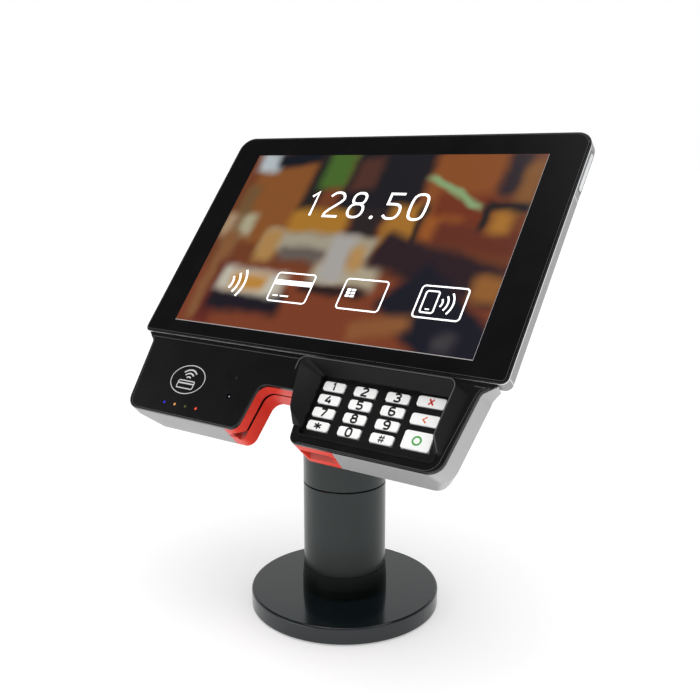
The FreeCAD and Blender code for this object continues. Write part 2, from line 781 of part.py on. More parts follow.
def card_guide_back():
    """The rear half, with the two side rails that close the slit beside the card."""
    body = guide_solid("card_guide_back", "slot_back", "head_depth")
    funnels(body)
    half, low, high = size("card_half_width"), size("module_bottom") + 6.0, size("guide_top") - 0.1
    lean = size("guide_lean") * size("slot_back")
    left, right = size("guide_left") - lean, size("guide_right") - lean
    rails = sketch_on(body, offset="0 - slot_back - 0.3")
    outline(rails, rounded(left + 0.6, low, -half, high, 0.5))
    outline(rails, rounded(half + 1.0, low, right - 0.6, high, 0.5))
    pad(body, rails, "slot_back - slot_front + 0.3")


def keypad_hood():
    """The raised privacy hood round the keys, with the plate that the keys come through."""
    body = new_body("keypad_hood", head_place())
    foot = sketch_on(body, offset=0)
    outline(foot, [(4.6, -82.2, 5), (16.2, -122, 2), (110.6, -122, 2), (113.8, -82.2, 6)])
    ridge = sketch_on(body, offset="hood_height")
    outline(ridge, [(8.0, -83.0, 5), (15.8, -115, 2), (107.6, -115, 2), (108.8, -83.0, 5)])
    walls = add_feature(body, "AdditiveLoft", foot, {"Sections": [ridge], "Ruled": True})
    doc.recompute()
    skirt = sketch_on(body, offset="0 - floor_back")
    outline(skirt, rounded(21.1, -127.3, 107.6, -87.5, 2.3))
    pad(body, skirt, "floor_back + 0.2")
    floor = sketch_on(body, offset=0.2)
    outline(floor, rounded(22.0, -126.0, 106.1, -89.7, 1.6))
    pocket(body, floor, "floor_depth + 0.2")
    before = body.Shape.Volume
    low = sketch_on(body, offset=0)
    outline(low, rounded(22.0, -126.0, 106.1, -89.7, 1.6))
    high = sketch_on(body, offset="hood_height + 0.5")
    outline(high, [(8.9, -83.9, 4.2), (17.4, -131.0, 2.2), (106.2, -131.0, 2.2), (107.8, -83.9, 4.2)])
    cut = add_feature(body, "SubtractiveLoft", low, {"Sections": [high], "Ruled": True})
    doc.recompute()
    if cut.Shape.Volume > before - 1 or walls.Shape.isNull():
        raise RuntimeError("keypad_hood: the loft cut nothing")
    holes = sketch_on(body, offset=1)
    for _, x, y, width, length in key_table():
        rectangle(holes, x, y, width + 2 * size("key_gap"), length + 2 * size("key_gap"))
    pocket(body, holes, 12.0)


def key_table():
    """Each key as (name, x, y, width, length)."""
    x, y = size("first_key_x"), size("first_key_y")
    across, along = size("key_pitch_across"), size("key_pitch_along")
    names = ["1", "2", "3", "4", "5", "6", "7", "8", "9", "star", "0", "hash"]
    keys = []
    for i, name in enumerate(names):
        keys.append(("key_" + name, x + across * (i % 3), y - along * (i // 3), size("key_width"),
                     size("key_length")))
    wide, far = size("function_key_width"), size("function_key_x")
    keys.append(("key_cancel", far, -93.6, wide, 6.2))
    keys.append(("key_clear", far, -103.9, wide, 6.4))
    keys.append(("key_enter", far, -115.9, wide, 10.6))
    return keys


def keycap(name, x, y, width, length):
    """A keycap with a flange that keeps it behind the hood's plate."""
    body = new_body(name, head_place() * FreeCAD.Placement(V(x, y, 0), FreeCAD.Rotation()))
    stem = sketch_on(body, offset="0 - flange_bottom")
    rectangle(stem, 0, 0, width, length)
    pad(body, stem, "flange_bottom - key_top")
    dress(body, "Fillet", lambda edge: edge.BoundBox.XLength + edge.BoundBox.YLength < 0.001, 1.6)
    dress(body, "Fillet", at_level(-size("key_top")), 0.5)
    flange = sketch_on(body, offset="0 - flange_bottom")
    grow = 2 * size("key_flange")
    rectangle(flange, 0, 0, width + grow, length + grow)
    pad(body, flange, "flange_bottom - flange_top")


def key_mat():
    plate("key_mat", 64.2, -107.3, 86, 39, -7.6, 0.65, 2.0, head_place())


def keypad_board():
    plate("keypad_board", 64.2, -107.3, 86, 39, -9.0, 1.3, 2.0, head_place())


def antenna_board():
    body = plate("antenna_board", -77, -104, 66, 34, -6.4, 1.2, 3.0, head_place())
    window = sketch_on(body, offset=-5)
    rectangle(window, -77, -104, 44, 18)
    pocket(body, window, 3.0)


def status_lights():
    """The clear light guide: a bar behind the cover with a post in each light hole."""
    body = plate("status_lights", -69.7, -125.2, 34, 4.4, -3.9, 1.2, 0.8, head_place())
    posts = sketch_on(body, offset=-3.0)
    for x, y in LIGHT_PLACES:
        circle(posts, 0.85, x, y)
    pad(body, posts, 2.9)


def lens(label, place, radius, front):
    """A small round window with a flange behind the cover."""
    body = new_body(label, head_place() * FreeCAD.Placement(V(*place, 0), FreeCAD.Rotation()))
    back, flange, rim = -5, -2.6, radius + 0.6
    revolve(body, [(0, back, 0), (rim, back, 0), (rim, flange, 0), (radius, flange, 0),
                   (radius, front, 0.2), (0, front, 0)])


def card_reader_body():
    """The reader behind the tablet, with the passage that the card slides up."""
    body = plate("card_reader_body", 1, -68.8, 62, 52, -17.5, 6.9, 1.5, head_place())
    passage = sketch_on(body, "XZ_Plane", 101)
    rectangle(passage, 1, -(size("slot_front") + size("slot_back")) / 2, "2 * card_half_width",
              "slot_back - slot_front")
    pocket(body, passage, 52.0)
    window = sketch_on(body, offset=-12.5)
    rectangle(window, 1, -70, 20, 14)
    pocket(body, window, 6.0)


def reader_contacts():
    """The contact carrier with its eight spring contacts."""
    body = plate("reader_contacts", 1, -70, 19, 13, -17.4, 3.6, 0.5, head_place())
    tips = sketch_on(body, offset=-14)
    for column in range(4):
        for line in (-1, 1):
            rectangle(tips, -2.81 + 2.54 * column, -70 + 3.8 * line, 1.2, 3.0)
    pad(body, tips, 0.9)


def payment_board():
    body = plate("payment_board", 0, -61, 100, 36, -21.4, 1.6, 2.0, head_place())
    chips = sketch_on(body, offset=-19.8)
    for x, width in ((-34, 16), (36, 20)):
        rectangle(chips, x, -61, width, 16)
    pad(body, chips, 1.6)


def rear_cover():
    """The hump behind the tablet: it holds the reader and its board, and takes the mount plate."""
    body = new_body("rear_cover", head_place())
    top, bottom, depth = size("module_top"), size("module_bottom"), size("head_depth")
    thin = size("module_depth")
    profile = sketch_on(body, "YZ_Plane", -70)
    outline(profile, [(bottom + 2.3, -depth, 0), (bottom + 14.1, -14.9, 0), (top + 2.6, 0.3 - thin, 0),
                      (top + 2.6, -9.75, 0), (18, -9.75, 0), (18, -13, 1), (6, -depth, 4)])
    pad(body, profile, 140)
    for side in (-1, 1):
        corner = sketch_on(body, "XZ_Plane")
        points = [(side * 71, -14.5, 0), (side * 59.5, -depth - 0.5, 0), (side * 71, -depth - 0.5, 0)]
        outline(corner, points)
        pocket(body, corner)
    guides = sketch_on(body, "XZ_Plane", "0 - guide_top - 0.2")
    outline(guides, guide_flanks(0.3))
    pocket(body, guides, 60.0, Reversed=True)
    cavity = sketch_on(body, offset=-9)
    outline(cavity, rounded(-54, size("guide_top") + 1.8, 54, 2, 3))
    pocket(body, cavity, "head_depth - 9 - 2.4")
    bosses = sketch_on(body, offset="0 - head_depth + 1")
    threads = sketch_on(body, offset="0 - head_depth + 6")
    for x, y in mount_screw_places():
        circle(bosses, 4.5, x, y)
        circle(threads, 2.0, x, y)
    pad(body, bosses, 3.4)
    pocket(body, threads, 12.0)
    screws = sketch_on(body, offset="0 - head_depth")
    for x, y in COVER_SCREW_PLACES:
        circle(screws, 1.75, x, y)
    pocket(body, screws)
    heads = sketch_on(body, offset="0 - head_depth - 1")
    for x, y in COVER_SCREW_PLACES:
        circle(heads, 3.3, x, y)
    pocket(body, heads, 4.0, Reversed=True)
    inlet = sketch_on(body, offset="0 - head_depth")
    circle(inlet, 5.0, 0, size("inlet_y"))
    pocket(body, inlet, 6.0, Reversed=True)
    mouth = sketch_on(body, "XZ_Plane", "2 - guide_top")
    rectangle(mouth, 1, -14, 62.8, 8.2)
    pocket(body, mouth, 6.0)


def cover_screws():
    """Four screws that hold the rear cover."""
    body = new_body("cover_screws", head_place())
    for x, y in COVER_SCREW_PLACES:
        reach = 17.5 if y > -50 else 12.0
        shank = sketch_on(body, offset=-23.0)
        circle(shank, 1.4, x, y)
        pad(body, shank, reach)
        head = sketch_on(body, offset=-24.6)
        circle(head, 2.9, x, y)
        pad(body, head, 1.6)
    sockets = sketch_on(body, offset=-24.6)
    for x, y in COVER_SCREW_PLACES:
        circle(sockets, 1.2, x, y)
    pocket(body, sockets, 1.2, Reversed=True)


def mount_screws():
    """Four button-head screws through the mount plate into the rear cover."""
    body = new_body("mount_screws", head_place())
    under_head = -size("head_depth") - size("plate_depth") - 0.1
    top = under_head - 2.2
    for x, y in mount_screw_places():
        shank = sketch_on(body, offset=under_head)
        circle(shank, 1.9, x, y)
        pad(body, shank, 8.0)
        head = sketch_on(body, offset=top)
        circle(head, 3.6, x, y)
        pad(body, head, 2.2)
    dress(body, "Fillet", at_level(top), 1.2)
    sockets = sketch_on(body, offset=top)
    for x, y in mount_screw_places():
        circle(sockets, 1.3, x, y)
    pocket(body, sockets, 1.4, Reversed=True)


def cable_inlet():
    """The soft grommet in the rear cover where the cable enters the head."""
    local = FreeCAD.Placement(V(0, size("inlet_y"), -size("head_depth")), FreeCAD.Rotation())
    body = new_body("cable_inlet", head_place() * local)
    bore, neck, rim, lip = 3.0, 4.9, 6.4, 6.0
    revolve(body, [(bore, -1.4, 0.5), (rim, -1.4, 0.6), (rim, -0.05, 0), (neck, -0.05, 0), (neck, 2.4, 0),
                   (lip, 2.4, 0), (lip, 3.4, 0.4), (bore, 3.4, 0)])


foot_pad()
base_plate()
post_foot()
post_screws()
post_collar()
lower_post()
swivel_bush()
thrust_washer()
upper_post()
swivel_hub()
swivel_spindle()
spindle_nut()
tilt_yoke()
tilt_bolt()
tilt_nut()
friction_washers()
tilt_knuckle()
mount_screws()
tablet_shell()
cover_glass()
display_panel()
tablet_board()
tablet_battery()
speaker()
volume_key()
power_key()
module_housing()
front_cover()
card_guide_front()
card_guide_back()
keypad_hood()
for entry in key_table():
    keycap(*entry)
key_mat()
keypad_board()
antenna_board()
status_lights()
lens("camera_lens", LENS_PLACE, 1.7, -0.35)
lens("sensor_window", SENSOR_PLACE, 0.6, -0.15)
card_reader_body()
reader_contacts()
payment_board()
rear_cover()
cover_screws()
cable_inlet()

doc.recompute()
for item in doc.Objects:
    if "Invalid" in item.State or "Error" in item.State:
        raise RuntimeError(item.Label + " failed: " + str(item.State))
for node in NODES:
    if node.Shape.isNull() or not node.Shape.isValid():
        raise RuntimeError(node.Label + " has no valid shape")

os.makedirs("parts", exist_ok=True)
for node in NODES:
    node.Shape.exportStep(os.path.join("parts", node.Label + ".step"))
    box = node.Shape.BoundBox
    print("%-18s solids %d  volume %9.1f  x %7.1f %7.1f  y %7.1f %7.1f  z %7.1f %7.1f" % (
        node.Label, len(node.Shape.Solids), node.Shape.Volume, box.XMin, box.XMax, box.YMin, box.YMax,
        box.ZMin, box.ZMax))
print(len(NODES), "nodes")
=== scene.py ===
import json
import math

import bmesh
import bpy
from mathutils import Matrix, Vector


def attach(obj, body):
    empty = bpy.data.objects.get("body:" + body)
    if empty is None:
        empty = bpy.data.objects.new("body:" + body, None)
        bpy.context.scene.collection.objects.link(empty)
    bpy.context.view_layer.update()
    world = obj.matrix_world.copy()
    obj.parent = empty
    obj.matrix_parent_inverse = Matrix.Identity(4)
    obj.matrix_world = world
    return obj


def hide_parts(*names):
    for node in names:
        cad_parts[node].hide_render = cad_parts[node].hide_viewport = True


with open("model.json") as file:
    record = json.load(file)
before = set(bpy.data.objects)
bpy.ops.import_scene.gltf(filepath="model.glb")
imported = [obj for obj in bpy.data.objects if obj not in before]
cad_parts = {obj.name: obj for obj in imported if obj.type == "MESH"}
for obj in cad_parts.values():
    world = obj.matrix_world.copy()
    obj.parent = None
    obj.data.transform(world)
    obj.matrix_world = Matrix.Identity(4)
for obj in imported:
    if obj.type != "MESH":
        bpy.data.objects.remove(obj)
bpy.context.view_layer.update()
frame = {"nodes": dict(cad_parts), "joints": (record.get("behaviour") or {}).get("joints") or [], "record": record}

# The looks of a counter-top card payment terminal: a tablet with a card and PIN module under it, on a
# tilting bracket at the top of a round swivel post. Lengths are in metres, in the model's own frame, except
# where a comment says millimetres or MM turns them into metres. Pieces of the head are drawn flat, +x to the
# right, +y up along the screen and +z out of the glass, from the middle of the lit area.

MM = 0.001
HEAD = "terminal_head"
SCREEN_DROP = 2.75 * MM     # the lit area's middle lies this far below the glass's middle
LIT_X, LIT_Y = 108.5 * MM, 67.8 * MM     # half the lit area's width and height
LIFT = 0.002 * MM     # how far thin drawings stand off the surface under them


# ---------------------------------------------------------------- the head's own frame


def joint(name):
    return next(item for item in frame["joints"] if item["name"] == name)


def head_matrix():
    """The head's place: its normal is the way the keys come out, and its origin the screen's centre."""
    out = -Vector(joint("key_1_press")["axis"]).normalized()
    right = Vector((1, 0, 0))
    up = out.cross(right)
    points = [vertex.co for vertex in frame["nodes"]["cover_glass"].data.vertices]
    heights = [point.dot(up) for point in points]
    glass_middle = (min(heights) + max(heights)) / 2
    origin = up * (glass_middle - SCREEN_DROP) + out * max(point.dot(out) for point in points)
    return Matrix.Translation(origin) @ Matrix((right, up, out)).transposed().to_4x4()


HEAD_PLACE = head_matrix()


def head_box(node):
    """A CAD node's lowest and highest corners in the head's flat frame."""
    back = HEAD_PLACE.inverted()
    points = [back @ vertex.co for vertex in frame["nodes"][node].data.vertices]
    low = Vector(tuple(min(point[i] for point in points) for i in range(3)))
    high = Vector(tuple(max(point[i] for point in points) for i in range(3)))
    return low, high


# ---------------------------------------------------------------- materials


def grey(level):
    return (level, level, level, 1.0)


def colour(red, green, blue):
    """A colour given as it looks on a monitor, from 0 to 255."""
    return tuple(((part / 255 + 0.055) / 1.055) ** 2.4 if part > 10 else part / 3295
                 for part in (red, green, blue)) + (1.0,)


class Paint:
    """One node material, built round its Principled shader."""

    def __init__(self, name, **sockets):
        self.material = bpy.data.materials.new(name)
        self.material.use_nodes = True
        self.tree = self.material.node_tree
        self.shader = self.tree.nodes["Principled BSDF"]
        self.place = self.node("TexCoord").outputs["Object"]
        for socket, value in sockets.items():
            self.set(socket.replace("_", " "), value)

    def set(self, socket, value):
        self.feed(self.shader.inputs[socket], value)

    def feed(self, socket, value):
        if isinstance(value, bpy.types.NodeSocket):
            self.tree.links.new(value, socket)
        else:
            socket.default_value = value

    def node(self, kind, inputs=None, **settings):
        item = self.tree.nodes.new("ShaderNode" + kind)
        for name, value in settings.items():
            setattr(item, name, value)
        for name, value in (inputs or {}).items():
            self.feed(item.inputs[name], value)
        return item

    def math(self, operation, first, second=0.0):
        return self.node("Math", {0: first, 1: second}, operation=operation).outputs[0]

    def noise(self, grain, detail=2.0, place=None):
        """Noise whose blotches are about grain metres across."""
        inputs = {"Vector": place or self.place, "Scale": 1 / grain, "Detail": detail}
        return self.node("TexNoise", inputs).outputs["Fac"]

    def span(self, value, low, high, out_low, out_high, smooth=False):
        """Maps low..high to out_low..out_high and clamps it."""
        inputs = {"Value": value, "From Min": low, "From Max": high, "To Min": out_low, "To Max": out_high}
        kind = "SMOOTHSTEP" if smooth else "LINEAR"
        return self.node("MapRange", inputs, interpolation_type=kind).outputs["Result"]

    def head_reach(self, axis):
        """How far a point lies along one axis of the head's flat frame: 0 across, 1 up and 2 out."""
        direction = HEAD_PLACE.col[axis].xyz
        reach = self.node("VectorMath", {0: self.place, 1: tuple(direction)}, operation="DOT_PRODUCT")
        return self.math("ADD", reach.outputs["Value"], -HEAD_PLACE.translation.dot(direction))

    def scaled(self, shade, factor):
        """A colour, or a colour socket, times a factor."""
        return self.node("VectorMath", {0: shade, "Scale": factor}, operation="SCALE").outputs[0]

    def mix(self, factor, first, second):
        item = self.node("Mix", {0: factor, 6: first, 7: second}, data_type="RGBA")
        return item.outputs[2]

    def bump(self, height, strength, depth):
        """A bump from a height socket, depth in metres."""
        inputs = {"Height": height, "Strength": strength, "Distance": depth}
        return self.node("Bump", inputs).outputs["Normal"]

    def grained(self, shade, grain, variation, depth, rough, rough_spread):
        """Colour blotches, uneven roughness and a fine raised grain: the base of most finishes."""
        cloud = self.noise(0.02, 3.0)
        dark = tuple(part * (1 - variation) for part in shade[:3]) + (1.0,)
        light = tuple(min(1, part * (1 + variation)) for part in shade[:3]) + (1.0,)
        self.set("Base Color", self.mix(self.span(cloud, 0.3, 0.7, 0, 1), dark, light))
        fine = self.noise(grain, 2.0)
        blend = self.math("ADD", self.math("MULTIPLY", cloud, 0.5), self.math("MULTIPLY", fine, 0.5))
        self.set("Roughness", self.span(blend, 0.35, 0.65, rough - rough_spread, rough + rough_spread))
        self.set("Normal", self.bump(fine, 0.35, depth))
        return self


POWDER = (0.014, 0.0215, 0.0205, 1)


def powder_coat():
    paint = Paint("powder_coat_dark", Specular_IOR_Level=0.4)
    return paint.grained(POWDER, 0.0006, 0.12, 0.000010, 0.22, 0.03).material


def polished_coat():
    """A darker paint, polished smooth on the foot's plate so that the post mirrors in it."""
    paint = Paint("polished_coat_dark", Specular_IOR_Level=0.6)
    return paint.grained((0.006, 0.010, 0.012), 0.0006, 0.12, 0.000002, 0.13, 0.02).material


def post_coat():
    """The post's paint, with painted shade that darkens it towards the foot, where the plate shades it."""
    paint = Paint("post_coat_dark", Specular_IOR_Level=0.4)
    paint.grained(POWDER, 0.0006, 0.12, 0.000010, 0.22, 0.03)
    height = paint.node("SeparateXYZ", {0: paint.place}).outputs["Z"]
    # Painted shade: the colour fades to nearly black towards the foot.
    shade = paint.span(height, 26 * MM, 54 * MM, 0, 1, True)
    paint.set("Base Color", paint.mix(shade, (0.001, 0.002, 0.002, 1), POWDER))
    return paint.material


LACQUER = (0.37, 0.37, 0.375, 1)


def grained_lacquer(name):
    return Paint(name, Metallic=0.25).grained(LACQUER, 0.0005, 0.05, 0.000012, 0.36, 0.04)


def module_lacquer():
    """Grey lacquer with painted light and shade: darker on the left and paler on the keypad's side."""
    paint = grained_lacquer("module_lacquer")
    across = paint.node("SeparateXYZ", {0: paint.place}).outputs["X"]
    # Painted light and shade: the lacquer's colour is scaled down on the left and up on the right.
    tint = paint.span(across, -40 * MM, 40 * MM, 0.86, 1.27, True)
    paint.set("Base Color", paint.scaled(LACQUER[:3], tint))
    return paint.material


# The tablet's side walls, in millimetres: the middles of its antenna strips up the screen, the middle
# and half width of the painted highlight band along each edge, and where its black front rim begins.
ANTENNA_STRIPS = (40.0, -74.5)
EDGE_HIGHLIGHT_BANDS = ((-1.25, 0.4), (-9.05, 0.3))
FRONT_RIM = (-0.85, -0.78)


def tablet_lacquer():
    """Grey lacquer with a black front rim, painted highlights along its edges and paler antenna strips across the
    side walls.
    """
    paint = grained_lacquer("tablet_lacquer")
    depth, height = paint.head_reach(2), paint.head_reach(1)
    dark, light = (tuple(share * part for part in LACQUER[:3]) + (1.0,) for share in (0.84, 0.9))
    lacquer = paint.mix(paint.noise(0.02, 3.0), dark, light)
    for strip in ANTENNA_STRIPS:
        off = paint.math("ABSOLUTE", paint.math("SUBTRACT", height, strip * MM))
        lacquer = paint.mix(paint.span(off, 0.35 * MM, 0.5 * MM, 1, 0), lacquer, (0.62, 0.63, 0.64, 1))
    # Painted highlights: pale bands where the shell's edges would catch the light.
    for edge, half in EDGE_HIGHLIGHT_BANDS:
        off = paint.math("ABSOLUTE", paint.math("SUBTRACT", depth, edge * MM))
        edge_highlight_band = paint.span(off, (half - 0.05) * MM, (half + 0.05) * MM, 1, 0)
        lacquer = paint.mix(edge_highlight_band, lacquer, (0.8, 0.81, 0.82, 1))
    front = paint.span(depth, FRONT_RIM[0] * MM, FRONT_RIM[1] * MM, 0, 1)
    paint.set("Base Color", paint.mix(front, lacquer, (0.0062, 0.0062, 0.0068, 1)))
    return paint.material


def gloss_black(name="gloss_black", gloss=0.35):
    paint = Paint(name, Specular_IOR_Level=gloss)
    return paint.grained((0.0058, 0.0058, 0.0064), 0.0008, 0.12, 0.000002, 0.2, 0.03).material


# Where the card slit's two lead-ins are, in millimetres of the head's flat frame. The left one is a funnel
# that closes upwards. The painted shade in both begins at SHADE_FOOT, jumps up to SHADE_STEP and grows to
# SHADE_TOP.
# SOFT is how wide the edges of the shaded areas are.
SLIT_LEVEL = -12.25
LEAD_IN_BACK, LEAD_IN_FRONT = -23.6, -6.0
LEFT_LEAD_IN_END, RIGHT_LEAD_IN_START, RIGHT_LEAD_IN_END = -18.8, 20.5, 41.2
FUNNEL_HALF_DEPTH, FUNNEL_HEIGHT, FUNNEL_FOOT = 5.5, 6.0, -132.8
SHADE_FOOT, SHADE_STEP, SHADE_TOP = -132.15, -131.9, -127.6
SOFT = 0.2


def orange_plastic():
    """Orange moulding with painted shade that darkens it up inside the two lead-ins of the card slit."""
    orange = (0.8, 0.046, 0.024, 1)
    paint = Paint("orange_plastic", Specular_IOR_Level=0.4)
    paint.grained(orange, 0.0004, 0.06, 0.000015, 0.42, 0.05)
    side, height, depth = (paint.head_reach(axis) for axis in range(3))

    def times(first, second):
        return paint.math("MULTIPLY", first, second)

    def begins(value, start):
        return paint.span(value, start * MM, (start + SOFT) * MM, 0, 1)

    def ends(value, end):
        return paint.span(value, (end - SOFT) * MM, end * MM, 1, 0)

    from_slit = paint.math("ABSOLUTE", paint.math("ADD", depth, -SLIT_LEVEL * MM))
    across_funnel = paint.math("DIVIDE", from_slit, FUNNEL_HALF_DEPTH * MM)
    up_funnel = paint.math("DIVIDE", paint.math("ADD", height, -FUNNEL_FOOT * MM), FUNNEL_HEIGHT * MM)
    within_funnel = paint.span(paint.math("ADD", across_funnel, up_funnel), 1.02, 1.06, 1, 0)
    left = times(ends(side, LEFT_LEAD_IN_END), within_funnel)
    right = times(begins(side, RIGHT_LEAD_IN_START), ends(side, RIGHT_LEAD_IN_END))
    inside = times(begins(depth, LEAD_IN_BACK), ends(depth, LEAD_IN_FRONT))
    inside = times(inside, paint.math("ADD", left, right))
    # Painted shade, rising up into the lead-ins.
    rising = paint.math("ADD", paint.span(height, SHADE_FOOT * MM, SHADE_STEP * MM, 0, 0.4),
                        paint.span(height, SHADE_STEP * MM, SHADE_TOP * MM, 0, 0.55))
    paint.set("Base Color", paint.mix(times(inside, rising), orange, (0.03, 0.003, 0.002, 1)))
    return paint.material


def black_plastic():
    """Fine-textured black moulding."""
    paint = Paint("textured_black_plastic", Specular_IOR_Level=0.2)
    return paint.grained((0.0052, 0.0052, 0.0056), 0.00035, 0.15, 0.000035, 0.42, 0.05).material


def key_plastic():
    paint = Paint("white_key_plastic", Specular_IOR_Level=0.4, Subsurface_Weight=0.05)
    paint.set("Subsurface Radius", (0.001, 0.001, 0.001))
    return paint.grained((0.95, 0.95, 0.94), 0.0005, 0.02, 0.000010, 0.38, 0.04).material


def plain_finish(name, shade, grain, rough, depth=0.00001, **sockets):
    variation, rough_spread = 0.08, 0.05
    return Paint(name, **sockets).grained(shade, grain, variation, depth, rough, rough_spread).material


def brushed_steel():
    """Turned steel with fine scratches round its axis."""
    paint = Paint("brushed_steel", Metallic=1.0)
    stretched = paint.node("Mapping", {"Vector": paint.place, "Scale": (1, 1, 14)}).outputs[0]
    lines = paint.noise(0.0012, 3.0, stretched)
    paint.set("Base Color", paint.mix(lines, (0.42, 0.43, 0.44, 1), (0.66, 0.67, 0.68, 1)))
    paint.set("Roughness", paint.span(lines, 0.3, 0.7, 0.26, 0.4))
    paint.set("Normal", paint.bump(lines, 0.3, 0.00001))
    return paint.material


def circuit_board():
    """Green solder mask with paler tracks."""
    paint = Paint("green_circuit_board", Roughness=0.4)
    tracks = paint.node("TexBrick", {
        "Vector": paint.place, "Scale": 160.0, "Mortar Size": 0.03, "Color1": grey(0.0), "Color2": grey(0.35),
        "Mortar": grey(1.0)}).outputs["Color"]
    paint.set("Base Color", paint.mix(tracks, (0.012, 0.075, 0.03, 1), (0.05, 0.2, 0.09, 1)))
    paint.set("Normal", paint.bump(tracks, 0.3, 0.00003))
    return paint.material


def dark_lens():
    paint = Paint("dark_lens", Roughness=0.06, Specular_IOR_Level=0.08)
    ring = paint.noise(0.003, 1.0)
    paint.set("Base Color", paint.mix(ring, (0.002, 0.002, 0.004, 1), (0.006, 0.006, 0.016, 1)))
    return paint.material


# The colours of the four status lights from left to right, and where each begins along the guide.
STATUS_LIGHTS = [(0.0, colour(48, 42, 190)), (0.24, colour(205, 140, 75)), (0.5, colour(72, 78, 34)),
                 (0.75, colour(220, 74, 52))]


def light_guide():
    """Clear light guide: each of its four posts glows in its own colour."""
    low, high = head_box("status_lights")
    paint = Paint("status_light_guide", Roughness=0.2)
    across = paint.node("SeparateXYZ", {0: paint.place}).outputs["X"]
    share = paint.span(across, low.x, high.x, 0, 1)
    ramp = paint.node("ValToRGB", {"Fac": share})
    ramp.color_ramp.interpolation = "CONSTANT"
    elements = ramp.color_ramp.elements
    elements.remove(elements[1])
    for position, shade in STATUS_LIGHTS[1:]:
        elements.new(position).color = shade
    elements[0].color = STATUS_LIGHTS[0][1]
    cloud = paint.span(paint.noise(0.0006, 1.0), 0.3, 0.7, 0.8, 1.1)
    shaded = paint.scaled(ramp.outputs["Color"], cloud)
    paint.set("Base Color", shaded)
    paint.set("Emission Color", shaded)
    paint.set("Emission Strength", 0.5)
    return paint.material


def ink_and_painted_light(name, shade, glow=0.0):
    """Ink with slightly uneven cover, for print and also for painted highlights and a painted glint."""
    paint = Paint(name, Specular_IOR_Level=0.3)
    cover = paint.span(paint.noise(0.0004, 2.0), 0.3, 0.7, 0.9, 1.0)
    tint = paint.scaled(shade[:3], cover)
    paint.set("Base Color", tint)
    paint.set("Roughness", paint.span(cover, 0.9, 1.0, 0.5, 0.4))
    if glow:
        paint.set("Emission Color", tint)
        paint.set("Emission Strength", glow)
    return paint.material


# The lit picture: an out-of-focus table scene of soft patches, each given as its centre, its half
# size, its turn in degrees and its colour, in millimetres from the middle of the screen.
PICTURE_BASE = colour(116, 62, 36)
PICTURE = [
    ((-74, 30), (25, 34), 0, colour(133, 80, 38)), ((-93, 62), (10, 8), 0, colour(178, 188, 192)),
    ((-62, 67), (26, 7), 8, colour(14, 19, 30)), ((-45, 46), (7, 28), 0, colour(34, 30, 30)),
    ((-97, 16), (6, 26), 0, colour(112, 82, 50)), ((-88, 9), (6, 9), 0, colour(168, 162, 134)),
    ((-104, 8), (5, 9), 0, colour(166, 140, 110)), ((8, 46), (31, 30), 0, colour(26, 24, 30)),
    ((-33, 56), (11, 15), 0, colour(68, 102, 40)), ((-9, 52), (9, 13), 0, colour(78, 46, 38)),
    ((62, 40), (25, 30), 0, colour(136, 76, 36)), ((68, 26), (20, 13), 0, colour(112, 50, 28)),
    ((93, 54), (8, 16), 0, colour(44, 34, 40)), ((104, 44), (6, 18), 0, colour(128, 84, 44)),
    ((58, 40), (23, 2.6), -27, colour(134, 160, 112)), ((-31, 13), (23, 10), 0, colour(166, 115, 40)),
    ((5, 13), (11, 12), 0, colour(40, 32, 34)), ((31, 12), (12, 17), 0, colour(162, 110, 42)),
    ((43, 14), (3, 16), 0, colour(44, 34, 28)), ((58, 12), (12, 9), 0, colour(150, 84, 36)),
    ((82, 7), (27, 9), -6, colour(100, 46, 32)), ((96, 30), (14, 4), 0, colour(20, 20, 28)),
    ((84, 22), (3, 9), 0, colour(32, 30, 30)), ((95, 19), (6, 8), 0, colour(166, 112, 44)),
    ((-24, -3), (44, 8), -2, colour(160, 152, 132)), ((-62, -6), (8, 12), 0, colour(170, 130, 76)),
    ((-32, -11), (18, 5), -4, colour(98, 88, 82)), ((0, -50), (118, 27), 0, colour(122, 60, 36)),
    ((-97, -30), (6, 34), 0, colour(132, 88, 54)), ((-88, -44), (7, 24), 0, colour(98, 38, 30)),
    ((6, -24), (24, 9), 0, colour(170, 158, 134)), ((2, -35), (25, 4), 0, colour(44, 26, 26)),
    ((-4, -12), (9, 17), 0, colour(166, 162, 158)), ((10, -12), (5, 9), 0, colour(178, 136, 82)),
    ((-60, -49), (30, 8), 0, colour(26, 20, 30)), ((-62, -34), (27, 9), -4, colour(190, 184, 168)),
    ((-64, -34), (15, 6), 0, colour(186, 132, 58)), ((66, -14), (46, 13), -14, colour(44, 28, 34)),
    ((82, -52), (44, 20), -38, colour(24, 24, 36)), ((102, -25), (9, 8), 0, colour(146, 94, 46)),
    ((44, -56), (20, 6), 16, colour(138, 86, 50)), ((88, -60), (7, 5), 0, colour(62, 58, 62)),
]


WOBBLE = 0.006     # how far the patches' edges wander, in metres
BLUR = 5.2     # how far each patch fades out, in millimetres
WIDEST_BLUR = 0.95     # the largest share of a patch's half size that its fading takes


